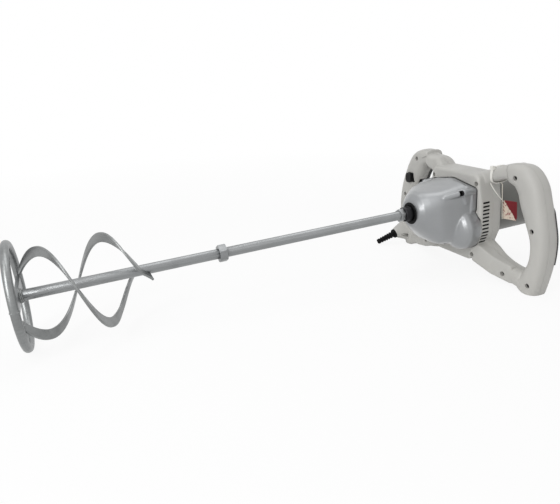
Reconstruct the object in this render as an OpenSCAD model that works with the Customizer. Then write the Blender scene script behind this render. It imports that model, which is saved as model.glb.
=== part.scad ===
// Hand held mixing drill with two D-handles and a double helix paddle.
// The machine is drawn along +X with the spindle's nose at x = 0, then laid on the floor.
// Near handle is at -Y, far handle (trigger and cord side) at +Y, paddle at -X.

/* [Paddle] */
// Outside diameter of the paddle's end ring
ring_od = 140; // [120:1:160]
// Diameter of the round bar the ring is bent from
ring_bar = 10.6; // [8:0.2:13]
// Distance from the spindle's nose to the ring's plane
paddle_reach = 570; // [520:1:640]
// Width of the flat bar the ribbons are bent from
ribbon_w = 13; // [10:0.5:16]
// Thickness of the ribbons' flat bar
ribbon_t = 4; // [3:0.5:5]
// Outer radius of the ribbons where they are widest
ribbon_r = 68; // [60:1:70]
// Length of the ribbons along the rod
ribbon_len = 152; // [135:1:165]
// Angle at which the first ribbon leaves the ring, from the near side
ribbon_a_start = -15; // [-40:1:10]
// Twist of the first ribbon, degrees per millimetre
ribbon_a_twist = 2.08; // [1.8:0.02:2.4]
// Angle at which the second ribbon leaves the ring
ribbon_b_start = 172; // [150:1:200]
// Twist of the second ribbon, degrees per millimetre
ribbon_b_twist = 2.3; // [1.8:0.02:2.4]
// Length of the first ribbon's end that runs past its weld
ribbon_tail = 8; // [0:1:9]
// Width of the cross bar inside the ring
spoke_w = 16; // [12:1:24]
// Thickness of the cross bar inside the ring
spoke_t = 5; // [4:0.5:8]

/* [Rods] */
// Diameter of the two rods
rod_d = 14; // [12:0.5:16]
// Distance from the spindle's nose to the middle of the rods' coupling
coupling_at = 309; // [260:1:360]
// Length of the rods' hexagonal coupling
coupling_len = 11; // [8:1:16]
// Width across flats of the rods' coupling
hex_af = 22; // [19:0.5:24]
// Width across flats of the hexagon at the rod's upper end
rod_hex_af = 18; // [17:0.5:19]
// Length of the hexagon at the rod's upper end
rod_hex_len = 8; // [6:1:14]
// Depth of the threaded joints of the rods
thread_len = 18; // [10:1:19]

/* [Spindle] */
// Diameter of the spindle's nose
nose_d = 24; // [22:0.5:26]
// Length of the nose in front of the seal
nose_len = 12; // [8:1:20]
// Width across the wrench flats of the nose
nose_af = 20; // [18:0.5:22]
// Bore diameter of the spindle's front bearing
front_brg_d = 17; // [15:1:17]
// Outside diameter of the spindle's front bearing
front_brg_od = 35; // [32:1:35]
// Width of the spindle's front bearing
front_brg_w = 10; // [8:1:11]
// Outside diameter of the black seal ring
seal_od = 34.8; // [32:0.2:36]

/* [Gears] */
// Module of the armature's gear stage
stage1_m = 1.25; // [1.2:0.05:1.3]
// Teeth of the armature's pinion
stage1_pinion = 7; // [7:1:8]
// Teeth of the large wheel on the layshaft
stage1_wheel = 49; // [47:1:50]
// Module of the spindle's gear stage
stage2_m = 1.75; // [1.7:0.05:1.8]
// Teeth of the layshaft's pinion
stage2_pinion = 13; // [12:1:13]
// Teeth of the spindle's gear
stage2_wheel = 37; // [36:1:38]
// Distance of the motor's axis below the spindle's axis
motor_drop = 15; // [13:1:17]
// Backlash of each gear pair at the pitch circle
backlash = 0.24; // [0.1:0.02:0.4]

/* [Gear case] */
// Distance from the nose to the case's front shoulder
case_shoulder = 34; // [30:1:36]
// Distance from the nose to the case's rear face
case_back = 86; // [86:1:90]
// Half width of the case at its front shoulder
case_half_w = 44; // [43:1:46]
// Height of the case's shoulder above the spindle's axis
case_top = 34; // [31:1:35]
// Depth of the case's front below the spindle's axis
case_bottom = 53; // [52:1:57]
// Wall thickness of the case
case_wall = 4; // [3:0.5:4.5]
// Distance of the upper screws from the spindle's axis, sideways
case_screw_y = 48.5; // [48:0.5:50]
// Height of the upper case screws above the spindle's axis
case_screw_z = 31; // [29:0.5:33]

/* [Motor] */
// Outside radius of the motor's casing
motor_r = 44; // [43:0.5:45]
// Wall thickness of the motor's casing
motor_wall = 3.5; // [2.5:0.5:4]
// Length of the rear cover
cover_len = 20; // [16:1:26]
// Depth from the casing's inside to the armature
stator_deep = 16; // [15.5:0.5:18]
// Length of the armature's and stator's cores
core_len = 46; // [40:1:48]
// Radius of the commutator
commutator_r = 14; // [12:0.5:15]

/* [Frame] */
// Distance from the nose to the parting plane of the two shells
parting_x = 112; // [110:1:116]
// Distance from the nose to the middle of the grips
grip_x = 116; // [115:1:117]
// Distance from the nose to the body's front face
body_front = 86; // [85:1:88]
// Distance from the nose to the body's rear face
body_rear = 131; // [128:1:134]
// Half width of the frame's body
body_half_w = 62; // [58:1:64]
// Wall thickness of the frame's shells
shell_wall = 3; // [2.5:0.5:3.5]
// Half depth of the grips
grip_depth = 18; // [17.5:0.5:19]
// Half depth of the arms
arm_depth = 15.5; // [15:0.5:17]
// Distance from the spindle's axis down to the flat feet of the grips
foot_drop = 110.5; // [109:0.5:112]
// Width of a vent slot
vent_w = 3.2; // [2.4:0.2:3.6]
// Length of a vent slot
vent_len = 13.5; // [11:0.5:15]
// Number of vent slots on each side
vent_count = 12; // [8:1:12]
// Distance between vent slots
vent_pitch = 5.9; // [5.4:0.1:6]

/* [Controls] */
// Length of the trigger
trigger_len = 50; // [44:1:54]
// Width of the trigger
trigger_w = 10; // [8:0.5:11]
// How far the trigger stands out of the grip
trigger_out = 7; // [5:0.5:9]
// Height of the lock button's face
button_h = 17; // [14:0.5:18]
// Width of the lock button's face
button_w = 15; // [12:0.5:16]
// How far the lock button stands out
button_out = 6; // [4:0.5:8]
// Radius of the speed dial
dial_r = 6; // [5.5:0.25:6.25]
// Thickness of the speed dial
dial_t = 5; // [4:0.5:6]
// Thickness of the soft pads on the grips
pad_t = 1.6; // [1:0.2:2.4]

/* [Cord entry] */
// Bore for the cord through gland and sleeve
cord_bore_d = 7.2; // [6:0.1:8]
// Outside diameter of the gland's flange
gland_d = 17; // [15:0.5:18]
// Length of the ribbed sleeve
sleeve_len = 34; // [24:1:36]
// Diameter of the sleeve at the gland
sleeve_d = 11.6; // [10.4:0.2:12]

/* [Fasteners and tag] */
// Diameter of the frame screws' heads
screw_head_d = 7; // [6:0.2:7.6]
// Diameter of the frame screws' shanks
screw_d = 3.8; // [3:0.1:4.2]
// Width of the cable tie's strap
tie_w = 3.6; // [2.5:0.1:5]
// Thickness of the cable tie's strap
tie_t = 1.2; // [1:0.1:1.6]

/* [Hidden] */

fit = 0.04;                    // radial clearance of running fits
gap = 0.5;                     // clearance round a moving control
seam = 0.8;                    // open seam between the gear case and the frame
far = 1;
near = -1;

// Paddle and rods
rod_r = rod_d / 2;
ring_bar_r = ring_bar / 2;
ring_mid_r = ring_od / 2 - ring_bar_r;
ring_x = -paddle_reach;
ring_in_r = ring_mid_r - ring_bar_r;
ribbon_steps = 72;
ribbon_tuck = 80;              // where the ribbons begin to turn in towards the rod
ribbon_lean = 30;              // how far the ribbons lean over where they meet the rod
weld_sink = 0.6;               // depth that a weld joins a ribbon to its rod

// Gear train: the layshaft lies where both centre distances are met
gear_angle = 25;
gear_addendum = 0.85;
gear_dedendum = 1.1;
stage1_shift = 0.4;
stage2_shift = 0.2;
stage1_dist = stage1_m * (stage1_pinion + stage1_wheel) / 2;
stage2_dist = stage2_m * (stage2_pinion + stage2_wheel) / 2;
lay_z = (pow(stage1_dist, 2) - pow(stage2_dist, 2) - pow(motor_drop, 2)) / (2 * motor_drop);
lay_y = -sqrt(pow(stage2_dist, 2) - pow(lay_z, 2));
to_lay = atan2(lay_z, lay_y);
lay_to_motor = atan2(-motor_drop - lay_z, -lay_y);

// Places along the spindle's axis
front_brg_x = 9;
lay_front_x = case_shoulder + 13;
small_brg_w = 7;
small_brg_r = 11;
small_bore_r = 4;
stage2_x = lay_front_x + small_brg_w + 1;
stage2_len = 9;
inner_plate_x = stage2_x + stage2_len + 1;
inner_plate_w = 6;
stage1_x = inner_plate_x + inner_plate_w + 2;
stage1_len = 8;
plate_x = stage1_x + stage1_len + 1.5;
plate_w = 8.5;
rear_spindle_r = 6;
rear_spindle_brg_r = 12;
spindle_gear_tip = stage2_m * (stage2_wheel / 2 + gear_addendum - stage2_shift);
lay_wheel_tip = stage1_m * (stage1_wheel / 2 + gear_addendum - stage1_shift);
lay_pinion_tip = stage2_m * (stage2_pinion / 2 + gear_addendum + stage2_shift);
lay_bulge_r = lay_wheel_tip + 3.2;
motor_brg_r = 16;
motor_brg_w = 10;
motor_brg_x = plate_x + 5;
motor_shaft_r = 6;
fan_x = motor_brg_x + motor_brg_w + 5;
fan_w = 12;
core_x = fan_x + fan_w + 16;
winding_over = 11;
commutator_x = core_x + core_len + 14;
commutator_len = 16;
rear_brg_x = commutator_x + commutator_len + 12;
motor_front = motor_brg_x + motor_brg_w + 1;
motor_in_r = motor_r - motor_wall;
motor_back = rear_brg_x + small_brg_w + 0.5;
armature_r = motor_in_r - stator_deep;
fan_r = motor_in_r - 4.5;

// Laying down: the ring's lowest point and the grips' feet share the floor
foot_x = grip_x - 1;
lay_rise = foot_drop - ring_mid_r;
lay_run = foot_x + paddle_reach;
tilt = acos(ring_bar_r / norm([lay_rise, lay_run])) - atan2(lay_run, lay_rise);
floor_z = foot_x * sin(tilt) - foot_drop * cos(tilt);
cover_flat_r = motor_r - 8;
reach_front = ring_x * cos(tilt) - ring_mid_r * sin(tilt) - ring_bar_r;
reach_rear = (motor_back + cover_len) * cos(tilt) + (motor_drop + cover_flat_r) * sin(tilt);
mid_x = (reach_front + reach_rear) / 2;

// Lines in the plane of the frame: [outwards, up, half width]
near_grip = [[106.5, 61, 16], [120.5, 57, 19], [132, 43.5, 19.8], [138.5, 24.5, 19.8], [147.5, 0, 17.2],
    [155, -24, 14.4], [156.5, -44, 13.2], [154.2, -64, 13.6], [147.8, -84, 16.4], [140, -103, 19.4]];
far_grip = [[93, 63, 11.5], [108, 58.5, 16.5], [119, 50, 20], [128.5, 37, 20.6], [137.5, 21, 20.2],
    [148, 0, 18.6],
    [155.5, -24, 16], [157.5, -44, 15], [155, -64, 15], [148.5, -84, 17], [140, -103, 19.4]];
near_upper_arm = [[44, 44, 14], [62, 53, 11], [80, 60, 10.5], [98, 64, 12], [112, 64, 13]];
far_upper_arm = [[44, 41, 12], [58, 54, 12], [74, 58.5, 10], [90, 59.5, 9.5], [106, 58.5, 11]];
lower_arm = [[40, -67, 20], [60, -76.5, 18.5], [75, -83, 15.5], [92, -88, 13.5], [110, -91.5, 13],
    [130, -94, 14]];
arm_x = grip_x - 2;
cap_len = 8;
grip_round = 3.1;               // how square the grips' section is
pad_inner = 5;                  // where a pad begins on the grip's inner side, behind the grip's middle
pad_outer = 13.5;               // where a pad begins on the grip's outer side

// Screws of the frame in its plane: [outwards, up]
frame_screw_at = [[114.4, 58.8], [150, -12], [45, -74]];
near_screw_at = [[50.5, 41.8], [148.5, -95], [102, -91]];
far_screw_at = [[50, 41.5], [142, -91], [78, -84]];
screw_seat_x = 102;
screw_boss_r = screw_head_d / 2 + 1.6;
case_aside = 2;                 // how far the case's front corners lie towards the far side

// Cord entry at the foot of the far grip
gland_at = [80, 158.6, -88.8];
gland_dir = [-0.94, 0.13, -0.31];
gland_flange_t = 4;
gland_tube = 14;

// Cable tie on the near arm and the tag under it
tie_at = [69, 55.8];
tie_high = 27.8;
tag_at = [118, 76, -3];

// Controls in the far grip
trigger_x = 112.5;
trigger_pivot = [trigger_x, 140, 15];
switch_y = 148.5;
button_at = [98, 132.3, 22.3];
dial_at = [124.5, 122.5, 16];
ear_t = 2.2;

// Puts the machine on the floor, with the origin under the middle of its box
module lay_down() {
    translate([-mid_x, 0, -floor_z])
        rotate([0, -tilt, 0])
            children();
}

// Round bar along X
module rod_x(r, x0, x1, n = 96) {
    translate([x0, 0, 0])
        rotate([0, 90, 0])
            cylinder(r = r, h = x1 - x0, $fn = n);
}

// Ring along X
module tube_x(r_out, r_in, x0, x1) {
    difference() {
        rod_x(r_out, x0, x1);
        rod_x(r_in, x0 - 1, x1 + 1);
    }
}

// Turned solid along X from a profile of [radius, x] points
module turned(profile, n = 96) {
    rotate([0, 90, 0])
        rotate_extrude($fn = n)
            polygon(profile);
}

// Flat shape in the frame's plane, given as (y, z), thickened along X
module plate_x(x0, x1) {
    translate([x0, 0, 0])
        rotate([90, 0, 90])
            linear_extrude(x1 - x0)
                children();
}

// Hexagonal bar along X
module hex_x(af, x0, x1) {
    translate([x0, 0, 0])
        rotate([0, 90, 0])
            cylinder(r = af / 2 / cos(30), h = x1 - x0, $fn = 6);
}

// Moves to an axis beside the spindle's
module axis_at(y, z) {
    translate([0, y, z])
        children();
}

// Space that the machine stands on, seen from the machine's own frame
module below_floor() {
    translate([foot_x, 0, -foot_drop])
        rotate([0, tilt, 0])
            translate([-400, -400, -60])
                cube([800, 800, 60]);
}

// Point on a smooth curve through listed values, t from 0 to the list's last index
function mix_at(P, t) =
    let (i = min(floor(t), len(P) - 2), u = t - i)
    let (a = P[max(i - 1, 0)], b = P[i], c = P[i + 1], d = P[min(i + 2, len(P) - 1)])
    0.5 * (2 * b + (c - a) * u + (2 * a - 5 * b + 4 * c - d) * u * u + (3 * b - a - 3 * c + d) * u * u * u);

function unit(v) = v / norm(v);

// Rounded box section exponent: |a|^(2/p) with a's sign
function soft(a, p) = sign(a) * pow(abs(a), 2 / p);

// One cross section of a grip or arm, in the plane square to its line
function section(at, along, half_w, half_d, mid, p, sides) =
    let (n = [-along.y, along.x])
    [for (k = [0 : sides - 1])
        let (a = 360 * (k + 0.5) / sides)
        let (w = half_w * soft(cos(a), p), d = half_d * soft(sin(a), p))
        [mid + d, at.x + w * n.x, at.y + w * n.y]];

// Closed skin over a list of sections with equal numbers of points
module skin(rings) {
    n = len(rings[0]);
    m = len(rings);
    points = [for (r = rings) each r];
    sides = [for (i = [0 : m - 2]) for (k = [0 : n - 1])
        let (a = i * n + k, b = i * n + (k + 1) % n)
        each [[a, a + n, b], [b, a + n, b + n]]];
    first = [for (k = [1 : n - 2]) [0, k, k + 1]];
    last = [for (k = [1 : n - 2]) [(m - 1) * n, (m - 1) * n + k + 1, (m - 1) * n + k]];
    polyhedron(points = points, faces = concat(sides, first, last), convexity = 8);
}

// Grip or arm along a line of [outwards, up, half width], with rounded ends where cap > 0
module limb(line, side, mid, half_d, inset, p, steps, sides, cap) {
    last = len(line) - 1;
    function place(t) = let (q = mix_at(line, t)) [side * q.x, q.y];
    function along(t) = unit(place(min(t + 0.05, last)) - place(max(t - 0.05, 0)));
    function ring(t, shift, grow) =
        let (q = mix_at(line, t), d = along(t))
        section(place(t) + shift * d, d, (q.z - inset) * grow, (half_d - inset) * grow, mid, p, sides);
    body = [for (i = [0 : steps]) ring(last * i / steps, 0, 1)];
    caps = [for (a = [24, 50, 76]) [(cap - inset) * sin(a), 1 - 0.2 * (1 - cos(a))]];
    head = [for (i = [len(caps) - 1 : -1 : 0]) ring(0, -caps[i][0], caps[i][1])];
    tail = [for (c = caps) ring(last, c[0], c[1])];
    skin(cap > 0 ? concat(head, body, tail) : body);
}

// Ball of low count used to round hulls
module knob_at(p, r) {
    translate(p)
        sphere(r = r, $fn = 16);
}

// Body of the frame round the gear case and motor, a rounded block of six corners
module body_block(inset) {
    r = 11 - inset;
    half = body_half_w - 11;
    hull() {
        for (side = [-1, 1]) {
            for (x = [body_front + 11, body_rear - 11]) {
                knob_at([x, side * (half - 6), 45], r);
                knob_at([x, side * half, 10], r);
                knob_at([x, side * half, -34], r);
                knob_at([x, side * (half - 17), -74], r);
            }
        }
    }
}

// Raised housing over the far arm for the speed electronics
module hump(inset) {
    r = 7 - inset;
    hull() {
        for (x = [100, 106]) {
            knob_at([x, 48, 54], r);
            knob_at([x, 56, 61], r);
            knob_at([x, 76, 62], r);
            knob_at([x, 48, 44], r);
            knob_at([x, 78, 56], r);
        }
    }
}

// Deep root of a lower arm, whose flat front runs from the body's front to the grip's foot
module arm_root(side, inset) {
    r = 4 - inset;
    rows = [[91, 47, -55, -81], [95.6, 82, -71, -93], [102.8, 114, -80, -99.5]];
    for (i = [0, 1])
        hull()
            for (q = [rows[i], rows[i + 1]])
                for (x = [q[0], 108])
                    for (z = [q[2], q[3]])
                        knob_at([x, side * q[1], z], r);
}

// Boss that carries the cord's gland at the foot of the far grip
module cord_boss(inset) {
    hull() {
        knob_at([108, 150, -89], 16 - inset);
        knob_at([104, 160, -76], 10 - inset);
        gland_axis()
            translate([0, 0, -4 - inset])
                cylinder(r = 9.6 - inset, h = 4, $fn = 24);
    }
}

// Solid outline of the whole frame, or of its hollow when inset is a wall
module frame_solid(inset) {
    count = inset > 1 ? 12 : 18;
    steps = inset > 1 ? 16 : 22;
    body_block(inset);
    hump(inset);
    cord_boss(inset);
    for (side = [near, far]) {
        arm_root(side, inset);
        grip = side == near ? near_grip : far_grip;
        limb(grip, side, grip_x, grip_depth, inset, grip_round, steps, count, cap_len);
        limb(side == near ? near_upper_arm : far_upper_arm, side, arm_x, arm_depth, inset, 3, 6, count, 0);
        limb(lower_arm, side, arm_x, arm_depth, inset, 3, 8, count, 0);
    }
}

// Lists every frame screw as [y, z]
function screw_places() = concat(
    [for (side = [near, far]) for (s = frame_screw_at) [side * s.x, s.y]],
    [for (s = near_screw_at) [near * s.x, s.y]],
    [for (s = far_screw_at) [far * s.x, s.y]]);

// Places of the gear case's screws as [y, z]
function case_screw_places() = [[-case_screw_y, case_screw_z], [case_screw_y, case_screw_z],
    [42, -51], [-10, -57]];

// Rear outline of the gear case, grown by a distance
module case_outline(grow) {
    hull() {
        circle(r = 44 + grow, $fn = 96);
        for (side = [-1, 1])
            translate([side * (case_screw_y - 1.5), case_screw_z - 1])
                circle(r = 6.5 + grow, $fn = 48);
        for (side = [-1, 1])
            translate([side * (case_screw_y - 1.5), 4])
                circle(r = 6.5 + grow, $fn = 48);
        translate([40, -48])
            circle(r = 12 + grow, $fn = 48);
        translate([-20, -50])
            circle(r = 12 + grow, $fn = 48);
    }
    translate([lay_y, lay_z])
        circle(r = lay_bulge_r + grow, $fn = 96);
}

// Cuts that both shells share: motor, gear case, controls, cord bore, vents and feet
module frame_cuts() {
    plate_x(body_front - 12, plate_x + plate_w + 4)
        case_outline(seam);
    axis_at(0, -motor_drop)
        rod_x(motor_r + 0.3, case_back, body_rear + 20, 64);
    below_floor();
    gland_axis()
        translate([0, 0, -40])
            cylinder(r = cord_bore_d / 2 + 1, h = 60, $fn = 24);
    translate([trigger_x - trigger_w / 2 - gap, 104, trigger_pivot.z - trigger_len - gap])
        cube([trigger_w + 2 * gap, 41.5, trigger_len + 5]);
    translate([button_at.x - 16, button_at.y - button_w / 2 - gap, button_at.z - button_h / 2 - gap])
        cube([24, button_w + 2 * gap, button_h + 2 * gap]);
    translate([dial_at.x - dial_r - gap, dial_at.y - 20, dial_at.z - dial_t / 2 - gap])
        cube([2 * dial_r + 2 * gap, 20 + dial_r + gap, dial_t + 2 * gap]);
    for (side = [-1, 1])
        for (i = [0 : vent_count - 1])
            translate([body_front + 5, side * (body_half_w - 5), 13 - i * vent_pitch])
                rotate([side * -6, 0, 0])
                    translate([0, -12, -vent_w / 2])
                        cube([vent_len, 24, vent_w]);
}

// Moves to the gland, with Z along the way the cord leaves
module gland_axis() {
    translate(gland_at)
        rotate([0, acos(unit(gland_dir).z), atan2(gland_dir.y, gland_dir.x)])
            children();
}

// Boss round a frame screw, with a rib towards the shell's face
module screw_boss(place, x0, x1) {
    hull() {
        translate([x0, place.x, place.y])
            rotate([0, 90, 0])
                cylinder(r = screw_boss_r, h = x1 - x0, $fn = 14);
        translate([x0, place.x, place.y - 1.2])
            cube([x1 - x0, 2.4, 2.4]);
    }
}

module frame_front_shell() {
    lay_down() color([0.72, 0.715, 0.70]) difference() {
        intersection() {
            union() {
                difference() {
                    frame_solid(0);
                    frame_solid(shell_wall);
                }
                intersection() {
                    frame_solid(0.5);
                    for (s = screw_places())
                        screw_boss(s, 80, parting_x);
                }
            }
            translate([0, -300, -200])
                cube([parting_x, 600, 400]);
        }
        frame_cuts();
        for (s = screw_places()) {
            translate([0, s.x, s.y])
                rod_x(screw_d / 2 + 0.2, 60, parting_x + 1, 14);
            translate([0, s.x, s.y])
                rod_x(screw_head_d / 2 + 0.2, 60, screw_seat_x + 3, 16);
        }
    }
}

module frame_rear_shell() {
    lay_down() color([0.70, 0.695, 0.68]) difference() {
        intersection() {
            union() {
                difference() {
                    frame_solid(0);
                    frame_solid(shell_wall);
                }
                intersection() {
                    frame_solid(0.5);
                    for (s = screw_places())
                        screw_boss(s, parting_x, 140);
                }
            }
            translate([parting_x, -300, -200])
                cube([60, 600, 400]);
        }
        frame_cuts();
        for (s = screw_places())
            translate([0, s.x, s.y])
                rod_x(screw_d / 2 + 0.05, parting_x - 1, 127, 14);
    }
}

module frame_screws() {
    lay_down() color([0.25, 0.25, 0.26]) for (s = screw_places())
        translate([0, s.x, s.y])
            difference() {
                union() {
                    rod_x(screw_head_d / 2, screw_seat_x, screw_seat_x + 3);
                    rod_x(screw_d / 2, screw_seat_x + 3, 126);
                }
                translate([screw_seat_x - 1, -0.6, -2.2])
                    cube([2.6, 1.2, 4.4]);
                translate([screw_seat_x - 1, -2.2, -0.6])
                    cube([2.6, 4.4, 1.2]);
            }
}

// Front corners of the gear case
module case_corners() {
    corner = 15;
    h = case_half_w - corner;
    for (y = [case_aside - h, case_aside + h])
        for (z = [case_top - corner, corner - case_bottom])
            translate([0, y, z])
                turned_disc(corner, case_shoulder - 1, case_shoulder + 6);
}

// Outer form of the gear case in front of its flange
module case_form() {
    x1 = case_back - 4;
    hull() {
        rod_x(22, 2, 4, 48);
        rod_x(30, 9, 10, 48);
        rod_x(34, 17, 18, 48);
        case_corners();
    }
    hull() {
        case_corners();
        rod_x(43.4, 76, x1, 64);
        for (side = [-1, 1])
            axis_at(side * (case_screw_y - 1.5), case_screw_z - 1)
                rod_x(5.9, 74, x1, 24);
        for (side = [-1, 1])
            axis_at(side * (case_screw_y - 1.5), 4)
                rod_x(5.9, 74, x1, 24);
        axis_at(40, -48)
            rod_x(11.4, 70, x1, 32);
        axis_at(-20, -50)
            rod_x(11.4, 70, x1, 32);
    }
    hull() {
        axis_at(15 - case_half_w, 15 - case_bottom)
            rod_x(13, case_shoulder + 4, case_shoulder + 6, 32);
        axis_at(lay_y, lay_z)
            rod_x(lay_bulge_r - 4, 66, 68, 64);
        axis_at(lay_y, lay_z)
            rod_x(lay_bulge_r - 0.6, 72, x1, 64);
    }
}

// Hollow of the gear case, bored round each axis
module case_hollow() {
    turned([[0, 20], [20, 20], [24, 38], [30, 44], [30, 60], [0, 60]]);
    rod_x(spindle_gear_tip + 1.1, stage2_x - 1, plate_x + 0.5);
    axis_at(lay_y, lay_z)
        rod_x(lay_wheel_tip + 1, stage1_x - 1, plate_x + 0.5);
    axis_at(lay_y, lay_z)
        rod_x(lay_pinion_tip + 1, stage2_x, stage1_x);
    axis_at(26, -34)
        rod_x(15, 46, plate_x + 0.5);
}

// Disc with a rounded front edge
module turned_disc(r, x0, x1) {
    turned([[0, x0], [r * 0.7, x0], [r * 0.93, x0 + 2.2], [r, x0 + 5], [r, x1], [0, x1]], 32);
}

// Upper screw bosses and the flange of the gear case
module case_flange() {
    plate_x(case_back - 8, case_back)
        case_outline(0);
    for (side = [-1, 1])
        translate([0, side * case_screw_y, case_screw_z])
            turned([[0, 63], [4.6, 63], [6.2, 65], [6.4, 80], [0, 80]]);
}

// Outline of the plate that closes the gear case, grown by a distance
module plate_outline(grow) {
    case_outline(grow - case_wall);
    for (s = case_screw_places())
        translate(s)
            circle(r = 4.4 + grow, $fn = 48);
}

module gear_case() {
    lay_down() color([0.62, 0.63, 0.65]) difference() {
        union() {
            case_form();
            case_flange();
        }
        case_hollow();
        plate_x(plate_x, case_back + 1)
            plate_outline(0);
        rod_x(seal_od / 2, 0, 7);
        rod_x(14, 0, 30);
        rod_x(front_brg_od / 2, front_brg_x, front_brg_x + front_brg_w + 4);
        axis_at(lay_y, lay_z)
            rod_x(small_brg_r, lay_front_x, stage2_x + 1);
        for (s = case_screw_places())
            axis_at(s.x, s.y) {
                rod_x(2.2, 40, case_back + 1);
                rod_x(4.2, 30, 65);
            }
    }
}

module gear_case_screws() {
    lay_down() color([0.07, 0.07, 0.075]) for (s = case_screw_places())
        translate([0, s.x, s.y])
            difference() {
                union() {
                    turned([[0, 60.5], [3, 60.5], [4, 61.2], [4, 65], [2.1, 65], [2.1, plate_x + plate_w - 0.5],
                        [0, plate_x + plate_w - 0.5]]);
                }
                hex_x(4, 58, 63);
            }
}

module inner_bearing_plate() {
    x1 = inner_plate_x + inner_plate_w;
    lay_down() color([0.66, 0.67, 0.68]) difference() {
        union() {
            rod_x(spindle_gear_tip + 1.05, inner_plate_x, x1);
            axis_at(lay_y, lay_z)
                rod_x(lay_pinion_tip + 0.95, inner_plate_x, x1);
        }
        rod_x(rear_spindle_brg_r, inner_plate_x - 1, x1 + 1);
        axis_at(lay_y, lay_z)
            rod_x(8, inner_plate_x - 1, x1 + 1);
    }
}

module gear_plate() {
    lay_down() color([0.64, 0.65, 0.66]) difference() {
        union() {
            plate_x(plate_x, plate_x + plate_w)
                plate_outline(-0.06);
            axis_at(0, -motor_drop)
                rod_x(motor_in_r - 0.05, plate_x + 1, motor_front + 6);
        }
        axis_at(0, -motor_drop)
            rod_x(motor_brg_r, motor_brg_x, motor_brg_x + motor_brg_w + 30);
        axis_at(0, -motor_drop) {
            rod_x(10, plate_x - 1, motor_brg_x + 1);
            rod_x(fan_r + 1, motor_front + 0.5, motor_front + 20);
        }
        axis_at(lay_y, lay_z)
            rod_x(small_brg_r, plate_x - 1, plate_x + small_brg_w + 0.3);
        for (s = case_screw_places())
            translate([0, s.x, s.y])
                rod_x(2.2, plate_x - 1, case_back + 20);
    }
}

module nose_seal() {
    lay_down() color([0.03, 0.03, 0.033])
        turned([[nose_d / 2 + 0.08, 1.5], [nose_d / 2 + 1.2, 0.4], [seal_od / 2 - 1.2, 0.4],
            [seal_od / 2, 1.4], [seal_od / 2, 7], [nose_d / 2 + 0.08, 7]]);
}

// Ball bearing along X with grooved faces
module ball_bearing(r_in, r_out, x0, w) {
    step = (r_out - r_in) / 4;
    turned([[r_in, x0], [r_in + step, x0], [r_in + step, x0 + 0.8], [r_out - step, x0 + 0.8],
        [r_out - step, x0], [r_out, x0], [r_out, x0 + w], [r_out - step, x0 + w],
        [r_out - step, x0 + w - 0.8], [r_in + step, x0 + w - 0.8], [r_in + step, x0 + w], [r_in, x0 + w]]);
}

module spindle_front_bearing() {
    lay_down() color([0.75, 0.76, 0.78])
        ball_bearing(front_brg_d / 2 + fit, front_brg_od / 2, front_brg_x, front_brg_w);
}

module spindle_rear_bearing() {
    lay_down() color([0.75, 0.76, 0.78])
        ball_bearing(rear_spindle_r + fit, rear_spindle_brg_r, inner_plate_x, inner_plate_w);
}

module layshaft_bearings() {
    lay_down() color([0.75, 0.76, 0.78]) axis_at(lay_y, lay_z) {
        ball_bearing(small_bore_r + fit, small_brg_r, lay_front_x, small_brg_w);
        ball_bearing(small_bore_r + fit, small_brg_r, plate_x, small_brg_w);
    }
}

module armature_front_bearing() {
    lay_down() color([0.75, 0.76, 0.78]) axis_at(0, -motor_drop)
        ball_bearing(motor_shaft_r + fit, motor_brg_r, motor_brg_x, motor_brg_w);
}

module armature_rear_bearing() {
    lay_down() color([0.75, 0.76, 0.78]) axis_at(0, -motor_drop)
        ball_bearing(small_bore_r + fit, small_brg_r, rear_brg_x, small_brg_w);
}

module motor_housing() {
    lay_down() color([0.38, 0.375, 0.37]) axis_at(0, -motor_drop) difference() {
        union() {
            tube_x(motor_r, motor_in_r, motor_front, motor_back);
            tube_x(small_brg_r + 3, small_brg_r, rear_brg_x, rear_brg_x + small_brg_w);
            for (a = [45 : 90 : 315])
                rotate([a, 0, 0])
                    translate([rear_brg_x, -3, small_brg_r + 2])
                        cube([small_brg_w, 6, motor_in_r - small_brg_r - 1]);
        }
        for (a = [35 : 22 : 145])
            for (side = [0, 180])
                rotate([a + side, 0, 0])
                    translate([motor_front + 3, -5, motor_in_r - 2])
                        cube([12, 10, 12]);
        for (side = [-1, 1])
            translate([commutator_x + commutator_len / 2, 0, 0])
                rotate([side * 90, 0, 0])
                    cylinder(r = 7, h = motor_r + 5, $fn = 48);
    }
}

module motor_rear_cover() {
    x0 = motor_back;
    x1 = motor_back + cover_len;
    lay_down() color([0.20, 0.20, 0.205]) axis_at(0, -motor_drop) difference() {
        turned([[0, x1 - 3], [cover_flat_r - 4, x1 - 3], [motor_r - 4.5, x1 - 9], [motor_r - 3.2, x0],
            [motor_r, x0],
            [motor_r - 0.6, x1 - 12], [motor_r - 3, x1 - 4], [cover_flat_r, x1], [0, x1]]);
        for (a = [15 : 30 : 345])
            rotate([a, 0, 0])
                translate([x1 - 8, -1.6, cover_flat_r - 22])
                    cube([20, 3.2, 16]);
        for (a = [45 : 90 : 315])
            rotate([a, 0, 0])
                translate([0, 0, motor_r - 9.5]) {
                    rod_x(2.1, x0 - 1, x1 + 2);
                    rod_x(3.5, x1 - 2, x1 + 2);
                }
    }
}

module rear_cover_screws() {
    x1 = motor_back + cover_len;
    lay_down() color([0.3, 0.3, 0.31]) axis_at(0, -motor_drop) for (a = [45 : 90 : 315])
        rotate([a, 0, 0])
            translate([0, 0, motor_r - 9.5]) {
                rod_x(2, rear_brg_x + small_brg_w, x1 - 1.9);
                rod_x(3.4, x1 - 2, x1 - 0.4);
            }
}

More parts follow.
